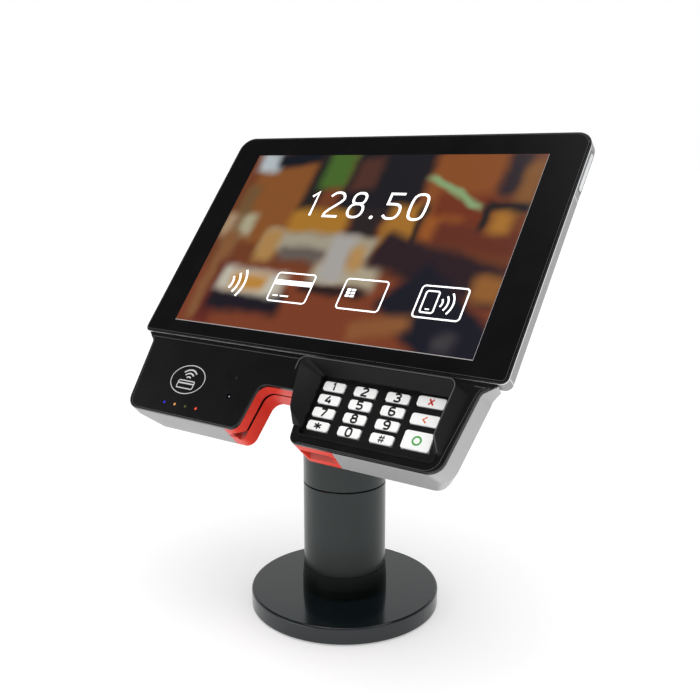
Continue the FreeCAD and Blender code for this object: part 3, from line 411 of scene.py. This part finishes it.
def lit_screen():
    """The display behind the glass, lit with the out-of-focus picture: soft patches with wavy edges."""
    paint = Paint("lit_screen", Roughness=0.16, Specular_IOR_Level=0.3)
    waves_per_metre = 60.0
    wobble = paint.node("TexNoise", {"Vector": paint.place, "Scale": waves_per_metre, "Detail": 1.0})
    shift = paint.node("VectorMath", {0: wobble.outputs["Color"], 1: (-0.5, -0.5, -0.5)}, operation="ADD")
    moved = paint.node("VectorMath", {0: paint.place, 1: paint.scaled(shift.outputs[0], WOBBLE)},
                       operation="ADD")
    picture = paint.mix(paint.noise(0.03), PICTURE_BASE, tuple(0.8 * part for part in PICTURE_BASE))
    for (x, y), (half_x, half_y), turn, shade in PICTURE:
        inputs = {"Vector": moved.outputs[0], "Location": (x * MM, y * MM, 0),
                  "Rotation": (0, 0, math.radians(turn)), "Scale": (half_x * MM, half_y * MM, 1)}
        local = paint.node("Mapping", inputs, vector_type="TEXTURE").outputs[0]
        size = paint.node("VectorMath", {0: local}, operation="ABSOLUTE").outputs[0]
        parts = paint.node("SeparateXYZ", {0: size})
        soft_x, soft_y = (min(BLUR / half, WIDEST_BLUR) for half in (half_x, half_y))
        inside_x = paint.span(parts.outputs["X"], 1 + soft_x, 1 - soft_x, 0, 1, True)
        inside_y = paint.span(parts.outputs["Y"], 1 + soft_y, 1 - soft_y, 0, 1, True)
        picture = paint.mix(paint.math("MULTIPLY", inside_x, inside_y), picture, shade)
    paint.set("Base Color", (0.004, 0.004, 0.004, 1))
    paint.set("Emission Color", picture)
    paint.set("Emission Strength", 0.95)
    return paint.material


MATERIALS = {
    "powder_coat": powder_coat(),
    "steel": brushed_steel(),
    "rubber": plain_finish("black_rubber", (0.018, 0.018, 0.019), 0.0006, 0.75, 0.00003),
    "bush": plain_finish("sintered_bronze", (0.55, 0.38, 0.17), 0.0005, 0.4, Metallic=1.0),
    "acetal": plain_finish("white_acetal", (0.75, 0.75, 0.72), 0.0008, 0.45),
    "aluminium": plain_finish("turned_aluminium", (0.72, 0.73, 0.74), 0.0006, 0.35, Metallic=1.0),
    "cover_glass": gloss_black("black_glass", 0.06),
    "display": plain_finish("display_back", (0.12, 0.12, 0.13), 0.001, 0.4),
    "circuit_board": circuit_board(),
    "battery": plain_finish("battery_foil", (0.09, 0.09, 0.1), 0.003, 0.35, 0.00006),
    "black_plastic": black_plastic(),
    "grey_key": plain_finish("pale_grey_lacquer", (0.8, 0.81, 0.82), 0.0005, 0.3, Metallic=0.3),
    "gloss_black": gloss_black(),
    "orange_plastic": orange_plastic(),
    "clear_plastic": light_guide(),
    "lens": dark_lens(),
    "contacts": plain_finish("gold_contacts", (0.83, 0.62, 0.26), 0.0004, 0.25, Metallic=1.0),
    "dark_cover": plain_finish("textured_dark_grey", (0.022, 0.023, 0.025), 0.0006, 0.5, 0.00005),
    "key_white": key_plastic(),
}
OWN_FINISH = {
    "tablet_shell": tablet_lacquer(),
    "module_housing": module_lacquer(),
    "base_plate": polished_coat(),
    "lower_post": post_coat(),
    "post_collar": plain_finish("satin_black_trim", (0.003, 0.004, 0.004), 0.0006, 0.3,
                                Specular_IOR_Level=0.12),
}
INK = {
    "black": ink_and_painted_light("black_ink", (0.008, 0.008, 0.008)),
    "red": ink_and_painted_light("red_ink", colour(215, 52, 40)),
    "orange": ink_and_painted_light("orange_ink", colour(226, 110, 48)),
    "green": ink_and_painted_light("green_ink", colour(70, 170, 70)),
    # Pale: the tap sign's print, and also the painted glint on the camera lens.
    "pale": ink_and_painted_light("pale_ink_and_painted_glint", colour(205, 205, 205)),
    # Dim: painted highlights along the glass's rim, the front cover's edge and the hood's ridge.
    "dim": ink_and_painted_light("painted_edge_highlight", colour(84, 84, 86)),
    "dark": ink_and_painted_light("dark_grey_edge", colour(58, 58, 60)),
    "screen": ink_and_painted_light("screen_white", colour(250, 250, 250), 0.85),
    "screen_edge": ink_and_painted_light("screen_edge_grey", colour(170, 165, 165), 0.15),
}


def paint_frame():
    """Gives each CAD node its own finish, or else that of the slot that the record names."""
    for part in frame["record"]["subparts"]:
        node = frame["nodes"][part["node"]]
        node.data.materials.clear()
        node.data.materials.append(OWN_FINISH.get(part["node"]) or MATERIALS[part["material_slot"]])


# ---------------------------------------------------------------- mesh helpers


def link(item):
    bpy.context.scene.collection.objects.link(item)
    return item


def add_piece(name, mesh, materials, body, place=HEAD_PLACE):
    """Links a finished bmesh as a piece that rides on a body."""
    data = bpy.data.meshes.new(name)
    bmesh.ops.recalc_face_normals(mesh, faces=mesh.faces)
    mesh.to_mesh(data)
    mesh.free()
    for material in materials:
        data.materials.append(material)
    item = link(bpy.data.objects.new(name, data))
    item.matrix_world = place
    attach(item, body)
    return item


def arc(x, y, radius, start, end, steps=10):
    """Points along an arc, angles in degrees."""
    turns = [math.radians(start + (end - start) * i / steps) for i in range(steps + 1)]
    return [(x + radius * math.cos(turn), y + radius * math.sin(turn)) for turn in turns]


def rounded_box(x_low, y_low, x_high, y_high, radius, steps=6, low_radius=None):
    """A closed outline of a rectangle with round corners, its lower ones of their own radius if given."""
    tight = radius if low_radius is None else low_radius
    corners = [(x_low + tight, y_low + tight, tight, 180), (x_high - tight, y_low + tight, tight, 270),
               (x_high - radius, y_high - radius, radius, 0), (x_low + radius, y_high - radius, radius, 90)]
    points = []
    for x, y, bend, start in corners:
        points += arc(x, y, bend, start, start + 90, steps)
    return points


LEAST_COSINE = 0.4     # a mitre's length is worked out as if half its turn had at least this cosine
LONGEST_MITRE = 0.72     # the most that a mitre may reach to each side, as a share of the strip's width


def ribbon(mesh, points, width, low, high, closed=False):
    """A flat strip of constant width along a line, with mitred corners, between two heights."""
    count = len(points)
    rows = []
    for i, (x, y) in enumerate(points):
        here = Vector((x, y))
        before = here - Vector(points[i - 1]) if closed or i else Vector(points[1]) - here
        after = Vector(points[(i + 1) % count]) - here if closed or i < count - 1 else before
        before, after = before.normalized(), after.normalized()
        along = (before + after).normalized()
        reach = width * min(0.5 / max(along.dot(before), LEAST_COSINE), LONGEST_MITRE)
        side = Vector((-along.y, along.x)) * reach
        corners = [(here + side, high), (here - side, high), (here - side, low), (here + side, low)]
        rows.append([mesh.verts.new((spot.x, spot.y, level)) for spot, level in corners])
    for i in range(count if closed else count - 1):
        first, second = rows[i], rows[(i + 1) % count]
        for k in range(4):
            mesh.faces.new((first[k], first[(k + 1) % 4], second[(k + 1) % 4], second[k]))
    if not closed:
        mesh.faces.new(rows[0])
        mesh.faces.new(rows[-1][::-1])


def slab(mesh, points, low, high):
    """A flat filled outline."""
    rings = [[mesh.verts.new((x, y, level)) for x, y in points] for level in (low, high)]
    for i in range(len(points)):
        j = (i + 1) % len(points)
        mesh.faces.new((rings[0][i], rings[0][j], rings[1][j], rings[1][i]))
    mesh.faces.new(rings[0])
    mesh.faces.new(rings[1])


def disc(mesh, x, y, radius, low, high):
    """A flat round dot."""
    slab(mesh, arc(x, y, radius, 0, 360, 24)[:-1], low, high)


def bead(mesh, points, radius, sides=8):
    """A thin round cord along a line of points in space, closed at both ends."""
    rings = []
    for i, spot in enumerate(points):
        here = Vector(spot)
        before = here - Vector(points[max(i - 1, 0)])
        after = Vector(points[min(i + 1, len(points) - 1)]) - here
        along = (before.normalized() + after.normalized()).normalized()
        first = along.cross(Vector((0, 0, 1)) if abs(along.z) < 0.9 else Vector((0, 1, 0))).normalized()
        second = along.cross(first)
        turns = [2 * math.pi * k / sides for k in range(sides)]
        rings.append([mesh.verts.new(here + radius * (math.cos(turn) * first + math.sin(turn) * second))
                      for turn in turns])
    for lower, upper in zip(rings, rings[1:]):
        for k in range(sides):
            mesh.faces.new((lower[k], lower[(k + 1) % sides], upper[(k + 1) % sides], upper[k]))
    mesh.faces.new(rings[0])
    mesh.faces.new(rings[-1])


# Digits and signs as lines on a grid four wide and six high: each a list of (points, closed).
SIGNS = {
    "0": [([(0, 1), (1, 0), (3, 0), (4, 1), (4, 5), (3, 6), (1, 6), (0, 5)], True)],
    "1": [([(0.9, 4.8), (2.4, 6), (2.4, 0)], False)],
    "2": [([(0, 5), (1, 6), (3, 6), (4, 5), (4, 4), (0, 1), (0, 0), (4, 0)], False)],
    "3": [([(0, 5.2), (0.8, 6), (3, 6), (4, 5.2), (4, 4), (3, 3.1), (4, 2.2), (4, 0.8), (3, 0), (0.8, 0),
            (0, 0.8)], False),
          ([(1.4, 3.1), (3.2, 3.1)], False)],
    "4": [([(2.4, 6), (0, 2.2), (0, 1.6), (4, 1.6)], False), ([(3, 3.4), (3, 0)], False)],
    "5": [([(3.9, 6), (0.2, 6), (0.2, 3.5), (3, 3.5), (4, 2.7), (4, 0.9), (3, 0), (0.9, 0),
            (0, 0.8)], False)],
    "6": [([(3.7, 6), (1, 6), (0, 5), (0, 1), (1, 0), (3, 0), (4, 1), (4, 2.4), (3, 3.4),
            (0.3, 3.4)], False)],
    "7": [([(0, 6), (4, 6), (4, 5), (1.6, 0)], False)],
    "8": [([(1, 3.3), (0.3, 4), (0.3, 5.2), (1.1, 6), (2.9, 6), (3.7, 5.2), (3.7, 4), (3, 3.3)], True),
          ([(1, 3.3), (0, 2.4), (0, 0.9), (1, 0), (3, 0), (4, 0.9), (4, 2.4), (3, 3.3)], True)],
    "9": [([(0.3, 0), (3, 0), (4, 1), (4, 5), (3, 6), (1, 6), (0, 5), (0, 3.6), (1, 2.6),
            (3.7, 2.6)], False)],
    "star": [([(2, 0.7), (2, 5.3)], False), ([(0, 1.8), (4, 4.2)], False), ([(0, 4.2), (4, 1.8)], False)],
    "hash": [([(0.7, 0), (1.5, 6)], False), ([(2.7, 0), (3.5, 6)], False),
             ([(-0.4, 1.9), (4.2, 1.9)], False), ([(-0.2, 4.1), (4.4, 4.1)], False)],
    "cancel": [([(0, 0.8), (4, 5.2)], False), ([(0, 5.2), (4, 0.8)], False)],
    "clear": [([(3.8, 5.4), (0.2, 3), (3.8, 0.6)], False)],
    "enter": [(arc(2, 3, 2.5, 0, 330, 11), True)],
}

# The width, height and line of each sign on the keys, in millimetres.
SIGN_SIZES = {
    "digit": (3.4, 4.4, 1.15),
    "star": (4.4, 5.0, 1.0),
    "hash": (3.2, 4.2, 0.7),
    "cancel": (2.8, 4.7, 1.0),
    "clear": (2.4, 4.2, 0.85),
    "enter": (3.9, 5.5, 1.05),
}
SIGN_INKS = {"cancel": "red", "clear": "orange", "enter": "green"}
KEPT_CORNER = math.radians(80)     # a sign's line stays sharp where it turns by more than this


def eased(points, closed, passes=2):
    """The same line with its gentle corners rounded off; turns sharper than KEPT_CORNER stay."""
    for _ in range(passes):
        cut = []
        for i, spot in enumerate(points):
            here, after = Vector(spot), Vector(points[(i + 1) % len(points)])
            before = Vector(points[i - 1])
            ends = not closed and i in (0, len(points) - 1)
            if ends or (here - before).angle(after - here) > KEPT_CORNER:
                cut.append(spot)
            else:
                cut += [tuple(here.lerp(before, 0.25)), tuple(here.lerp(after, 0.25))]
        points = cut
    return points


def draw_sign(mesh, sign, x, y, width, height, line, low, high):
    """Draws one sign centred on x, y."""
    for points, closed in SIGNS[sign]:
        placed = [(x + (px / 4 - 0.5) * width, y + (py / 6 - 0.5) * height) for px, py in points]
        ribbon(mesh, eased(placed, closed), line, low, high, closed)


# ---------------------------------------------------------------- screen


def glass_front():
    """The cover glass: a thin plate with a bevelled rim, black outside the lit window."""
    low, high = head_box("cover_glass")
    bevel, corner, low_corner, steps = 0.25 * MM, 9.4 * MM, 2.9 * MM, 10
    window = [(-LIT_X, -LIT_Y), (LIT_X, -LIT_Y), (LIT_X, LIT_Y), (-LIT_X, LIT_Y)]
    mesh = bmesh.new()
    rings = []
    for inset, level in ((bevel, low.z), (0, low.z + bevel), (0, high.z - bevel), (bevel, high.z)):
        points = rounded_box(low.x + inset, low.y + inset, high.x - inset, high.y - inset,
                             corner - inset, steps, low_corner - inset)
        rings.append([mesh.verts.new((x, y, level)) for x, y in points])
    count = len(rings[0])
    for lower, upper in zip(rings, rings[1:]):
        for i in range(count):
            j = (i + 1) % count
            mesh.faces.new((lower[i], lower[j], upper[j], upper[i]))
    mesh.faces.new(rings[0])
    corners = [mesh.verts.new((x, y, high.z)) for x, y in window]
    for i in range(count):
        j = (i + 1) % count
        here, there = corners[i // (steps + 1)], corners[j // (steps + 1)]
        around = [rings[-1][i], rings[-1][j], there, here]
        mesh.faces.new(around[:3] if here is there else around)
    mesh.faces.new(corners).material_index = 1
    item = add_piece("glass_front", mesh, [MATERIALS["cover_glass"], lit_screen()], HEAD)
    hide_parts("cover_glass")


ON_SCREEN = (0.005 * MM, 0.02 * MM)     # how far off the glass the signs on the screen begin and end
SIGN_LINE = 1.0 * MM     # how wide the payment signs' lines are
SIGN_MIDDLE = -36.0 * MM     # how far up the screen their middles are


def screen_digits():
    """A sum of money in thin white digits."""
    mesh = bmesh.new()
    step, width, height, line = 17.4 * MM, 10.8 * MM, 18.6 * MM, 1.75 * MM
    point_step, point_back, point_lift = 0.55 * step, 3.6 * MM, 0.4 * MM
    x, y = -41.5 * MM, 27.8 * MM
    for sign in "128.50":
        if sign == ".":
            disc(mesh, x - point_back, y - height / 2 + point_lift, line * 0.75, *ON_SCREEN)
            x += point_step
            continue
        draw_sign(mesh, sign, x, y, width, height, line, *ON_SCREEN)
        x += step
    add_piece("screen_digits", mesh, [INK["screen"]], HEAD)


def screen_waves():
    """The first payment sign: radio waves."""
    mesh = bmesh.new()
    for radius in (8.0, 13.0, 18.0):
        ribbon(mesh, arc(-84.0 * MM, SIGN_MIDDLE, radius * MM, -33, 33, 12), 1.6 * MM, *ON_SCREEN)
    add_piece("screen_waves", mesh, [INK["screen"]], HEAD)


def card_outlines(mesh):
    """The round-cornered frames of the other three signs."""
    low, high, width, corner = -46.3, -25.7, 29.6, 2.2
    for left in (-42.5, 10.3, 62.5):
        outline = rounded_box(left * MM, low * MM, (left + width) * MM, high * MM, corner * MM)
        ribbon(mesh, outline, SIGN_LINE, *ON_SCREEN, closed=True)


def card_stripe(mesh):
    """The striped card's band and the two short lines under it."""
    left, right, low, high, under = -42.0 * MM, -13.4 * MM, -34.4 * MM, -30.9 * MM, -42.3 * MM
    slab(mesh, [(left, low), (right, low), (right, high), (left, high)], *ON_SCREEN)
    for start, end in ((-39.4, -35.4), (-33.6, -27.0)):
        ribbon(mesh, [(start * MM, under), (end * MM, under)], SIGN_LINE, *ON_SCREEN)


def card_chip(mesh):
    """The chip card's contacts: two columns of three."""
    width, height = 2.8 * MM, 1.5 * MM
    for column in range(2):
        for row in range(3):
            x, y = (13.4 + 3.4 * column) * MM, (-38.2 + 2.1 * row) * MM
            slab(mesh, [(x, y), (x + width, y), (x + width, y + height), (x, y + height)], *ON_SCREEN)


def phone_sign(mesh):
    """A phone with its key and three waves beside it."""
    phone = rounded_box(66.2 * MM, -43.0 * MM, 74.6 * MM, -29.0 * MM, 1.4 * MM)
    ribbon(mesh, phone, SIGN_LINE, *ON_SCREEN, closed=True)
    ribbon(mesh, [(69.0 * MM, -40.8 * MM), (71.8 * MM, -40.8 * MM)], 0.8 * MM, *ON_SCREEN)
    for radius in (4.0, 7.4, 10.8):
        ribbon(mesh, arc(74.4 * MM, SIGN_MIDDLE, radius * MM, -38, 38, 10), 1.1 * MM, *ON_SCREEN)


def screen_cards():
    """The other three payment signs: a striped card, a chip card and a phone."""
    mesh = bmesh.new()
    for draw in (card_outlines, card_stripe, card_chip, phone_sign):
        draw(mesh)
    add_piece("screen_cards", mesh, [INK["screen"]], HEAD)


def screen_edge():
    """The pale line along the lower and right edges of the lit area."""
    mesh = bmesh.new()
    ribbon(mesh, [(-LIT_X, -LIT_Y), (LIT_X, -LIT_Y)], 0.45 * MM, *ON_SCREEN)
    ribbon(mesh, [(LIT_X, -LIT_Y), (LIT_X, LIT_Y)], 0.2 * MM, *ON_SCREEN)
    add_piece("screen_edge", mesh, [INK["screen_edge"]], HEAD)


# ---------------------------------------------------------------- module


def tap_sign():
    """A generic tap sign on the cover: an oval with a card in it and three arcs above the card."""
    mesh = bmesh.new()
    low, high = LIFT, 0.02 * MM
    x, y, line = -73.2 * MM, -107.6 * MM, 0.55 * MM
    oval = [(x + (px - x) * 1.42, py) for px, py in arc(x, y, 9.6 * MM, 0, 360, 48)[:-1]]
    ribbon(mesh, oval, line, low, high, closed=True)
    card = rounded_box(x - 6.6 * MM, y - 6.0 * MM, x + 6.6 * MM, y - 0.9 * MM, 0.9 * MM, 3)
    ribbon(mesh, card, 0.7 * MM, low, high, closed=True)
    ribbon(mesh, [(x - 6.3 * MM, y - 2.7 * MM), (x + 6.3 * MM, y - 2.7 * MM)], 0.9 * MM, low, high)
    for radius in (2.2, 4.6, 7.0):
        ribbon(mesh, arc(x, y - 0.4 * MM, radius * MM, 42, 138, 10), 0.95 * MM, low, high)
    add_piece("tap_sign", mesh, [INK["pale"]], HEAD)


def glass_rim_line():
    """The light that the rounded edge of the glass catches."""
    mesh = bmesh.new()
    low, high = head_box("cover_glass")
    inset, corner, low_corner = 0.45 * MM, 9.0 * MM, 2.5 * MM
    rim = rounded_box(low.x + inset, low.y + inset, high.x - inset, high.y - inset, corner, 8, low_corner)
    ribbon(mesh, rim, 0.22 * MM, LIFT, 0.014 * MM, closed=True)
    add_piece("glass_rim_line", mesh, [INK["dim"]], HEAD)


def cover_edge_line():
    """The light in the joint under the glass and along the front cover's rounded edge, on each side."""
    mesh = bmesh.new()
    low, high = head_box("front_cover")
    level = (high.z + LIFT, high.z + 0.014 * MM)
    top, bottom, bend = -82.1 * MM, low.y + 1.0 * MM, 8.0 * MM
    for side, turn, joint_line in ((-1, (180, 270), (-121.0, 3.6)), (1, (0, -90), (114.5, 121.0))):
        shoulder = [(side * 121.0 * MM, top), (side * 118.2 * MM, top - 1.6 * MM),
                    (side * 117.0 * MM, -86.5 * MM)]
        corner = arc(side * 111.2 * MM - side * bend, bottom + bend, bend, *turn, 10)
        foot = [(side * 24.0 * MM, bottom)]
        ribbon(mesh, shoulder + corner + foot, 0.24 * MM, *level)
        ribbon(mesh, [(x * MM, top) for x in joint_line], 0.3 * MM, *level)
    add_piece("cover_edge_line", mesh, [INK["dim"]], HEAD)


def side_key_joint():
    """The dark joint round the long key in the tablet's right wall, drawn in the plane of that wall."""
    low, high = head_box("volume_key")
    wall = head_box("tablet_shell")[1].x
    grow, axes = 0.25 * MM, HEAD_PLACE.to_3x3()
    turned = Matrix((axes.col[1], axes.col[2], axes.col[0])).transposed().to_4x4()
    mesh = bmesh.new()
    outline = rounded_box(low.y - grow, low.z - grow, high.y + grow, high.z + grow, 1.3 * MM)
    ribbon(mesh, outline, 0.4 * MM, wall + LIFT, wall + 0.02 * MM, closed=True)
    place = Matrix.Translation(HEAD_PLACE.translation) @ turned
    add_piece("side_key_joint", mesh, [INK["black"]], HEAD, place)


def hood_beads():
    """The rounded ridge of the hood, along its top and down its right wall: a thin cord in paler grey, a painted
    highlight on the ridge.
    """
    mesh = bmesh.new()
    bend, bend_y, ridge_level = 4.6, -88.0, 8.0
    rim = [(8.5, -92.0)] + arc(13.0, bend_y, bend, 180, 90, 6)
    rim += arc(103.8, bend_y, bend, 90, 0, 6) + [(107.7, -100.0)]
    run_down = [(107.0, -114.6, 7.95), (107.6, -118.0, 4.4), (108.3, -121.0, 1.0)]
    ridge = [(x, y, ridge_level) for x, y in rim] + run_down
    bead(mesh, [tuple(part * MM for part in spot) for spot in ridge], 0.3 * MM)
    add_piece("hood_bead", mesh, [INK["dim"]], HEAD)


def slit_shade_strips():
    """Black strips on both walls of the card slit, from just inside the finger notch: painted shade in the slit.
    """
    bottom, top, left, right, left_bend, right_bend = -126.9, -99.85, -22.5, 14.3, 8.9, 4.9
    strip_width, front_wall, back_wall = 3.6, (-11.52, -11.42), (-13.08, -12.98)
    path = [(left - 1.6, bottom)] + arc(left + left_bend, top - left_bend, left_bend, 180, 90, 8)
    path += arc(right - right_bend, top - right_bend, right_bend, 90, 0, 8) + [(right + 3.0, bottom)]
    mesh = bmesh.new()
    for low, high in (front_wall, back_wall):
        ribbon(mesh, [(x * MM, y * MM) for x, y in path], strip_width * MM, low * MM, high * MM)
    add_piece("slit_shade_strips", mesh, [MATERIALS["black_plastic"]], HEAD)


def small_windows():
    """A painted glint at the middle of the camera lens, and the pale ring of the light sensor."""
    mesh = bmesh.new()
    low, high = head_box("camera_lens")
    # Painted glint: a pale dot where the lens would reflect a light.
    disc(mesh, (low.x + high.x) / 2, (low.y + high.y) / 2, 0.42 * MM, high.z, high.z + 0.02 * MM)
    add_piece("lens_painted_glint", mesh, [INK["pale"]], HEAD)
    mesh = bmesh.new()
    low, high = head_box("sensor_window")
    ring = arc((low.x + high.x) / 2, (low.y + high.y) / 2, 0.75 * MM, 0, 360, 20)[:-1]
    ribbon(mesh, ring, 0.22 * MM, LIFT, 0.016 * MM, closed=True)
    add_piece("sensor_ring", mesh, [INK["dark"]], HEAD)


def key_legends():
    """Raised print on every key."""
    for name in [part["node"] for part in frame["record"]["subparts"] if part["node"].startswith("key_")]:
        sign = name[len("key_"):]
        if sign not in SIGNS:
            continue
        low, high = head_box(name)
        x, y = (low.x + high.x) / 2, (low.y + high.y) / 2
        mesh = bmesh.new()
        sizes = (part * MM for part in SIGN_SIZES.get(sign, SIGN_SIZES["digit"]))
        draw_sign(mesh, sign, x, y, *sizes, high.z - 0.01 * MM, high.z + 0.02 * MM)
        add_piece(name + "_sign", mesh, [INK[SIGN_INKS.get(sign, "black")]], name)


# ---------------------------------------------------------------- studio


def add_sun(name, towards, strength, spread, gloss):
    """A broad soft light from far away, from the direction given."""
    data = bpy.data.lights.new(name, "SUN")
    data.energy = strength
    data.angle = math.radians(spread)
    data.specular_factor = gloss
    item = link(bpy.data.objects.new(name, data))
    item.rotation_euler = Vector(towards).to_track_quat("Z", "Y").to_euler()


def pale_floor():
    """A wide floor that glows a little, so that it stays nearly white under the soft light."""
    mesh = bmesh.new()
    bmesh.ops.create_grid(mesh, x_segments=1, y_segments=1, size=30.0)
    data = bpy.data.meshes.new("floor")
    mesh.to_mesh(data)
    mesh.free()
    floor = link(bpy.data.objects.new("floor", data))
    paint = Paint("pale_floor", Roughness=0.85, Specular_IOR_Level=0.1)
    paint.set("Base Color", paint.mix(paint.noise(0.4, 2.0), grey(0.7), grey(0.715)))
    paint.set("Emission Color", grey(1.0))
    paint.set("Emission Strength", 0.39)
    data.materials.append(paint.material)


# How bright the surround is in reflections: each a height, from 0 below to 1 overhead, and its level.
SURROUND_LEVELS = [(0.0, 0.75), (0.25, 0.6), (0.46, 0.75), (0.6, 0.08), (0.75, 0.03), (1.0, 0.12)]
AMBIENT_LEVEL = 0.55


def surround():
    """White where the camera sees it, a ramp of grey levels in reflections, and even grey light elsewhere."""
    world = bpy.data.worlds.new("studio")
    bpy.context.scene.world = world
    world.use_nodes = True
    tree = world.node_tree
    background = tree.nodes["Background"]
    place = tree.nodes.new("ShaderNodeTexCoord")
    parts = tree.nodes.new("ShaderNodeSeparateXYZ")
    tree.links.new(place.outputs["Generated"], parts.inputs[0])
    ramp = tree.nodes.new("ShaderNodeValToRGB")
    tree.links.new(parts.outputs["Z"], ramp.inputs["Fac"])
    elements = ramp.color_ramp.elements
    for end, (position, level) in ((elements[0], SURROUND_LEVELS[0]), (elements[1], SURROUND_LEVELS[-1])):
        end.position, end.color = position, grey(level)
    for position, level in SURROUND_LEVELS[1:-1]:
        elements.new(position).color = grey(level)
    path = tree.nodes.new("ShaderNodeLightPath")
    lit, seen = (tree.nodes.new("ShaderNodeMix") for _ in range(2))
    for mix, kind in ((lit, "Is Glossy Ray"), (seen, "Is Camera Ray")):
        mix.data_type = "RGBA"
        tree.links.new(path.outputs[kind], mix.inputs[0])
    lit.inputs[6].default_value = grey(AMBIENT_LEVEL)
    tree.links.new(ramp.outputs["Color"], lit.inputs[7])
    tree.links.new(lit.outputs[2], seen.inputs[6])
    seen.inputs[7].default_value = grey(1.0)
    tree.links.new(seen.outputs[2], background.inputs["Color"])


def lights():
    """A broad light from above and a weaker one from the front."""
    add_sun("overhead_light", (0.12, -0.12, 1.0), 1.55, 60, 0.03)
    add_sun("front_fill_light", (-0.35, -1.0, 0.12), 0.55, 50, 0.0)


def add_camera():
    """The camera, in front of the terminal and to its right, just under its top and looking down a little."""
    down, turn = 11.75, 35.42
    data = bpy.data.cameras.new("camera")
    data.lens = 46.3
    data.sensor_width = 36.0
    data.clip_start = 0.01
    item = link(bpy.data.objects.new("camera", data))
    item.location = (0.3192, -0.4429, 0.2803)
    item.rotation_euler = (math.radians(90 - down), 0, math.radians(turn))
    bpy.context.scene.camera = item


bpy.context.scene.view_settings.view_transform = "Standard"

paint_frame()
glass_front()
screen_digits()
screen_waves()
screen_cards()
screen_edge()
tap_sign()
glass_rim_line()
cover_edge_line()
side_key_joint()
hood_beads()
slit_shade_strips()
small_windows()
key_legends()
pale_floor()
surround()
lights()
add_camera()
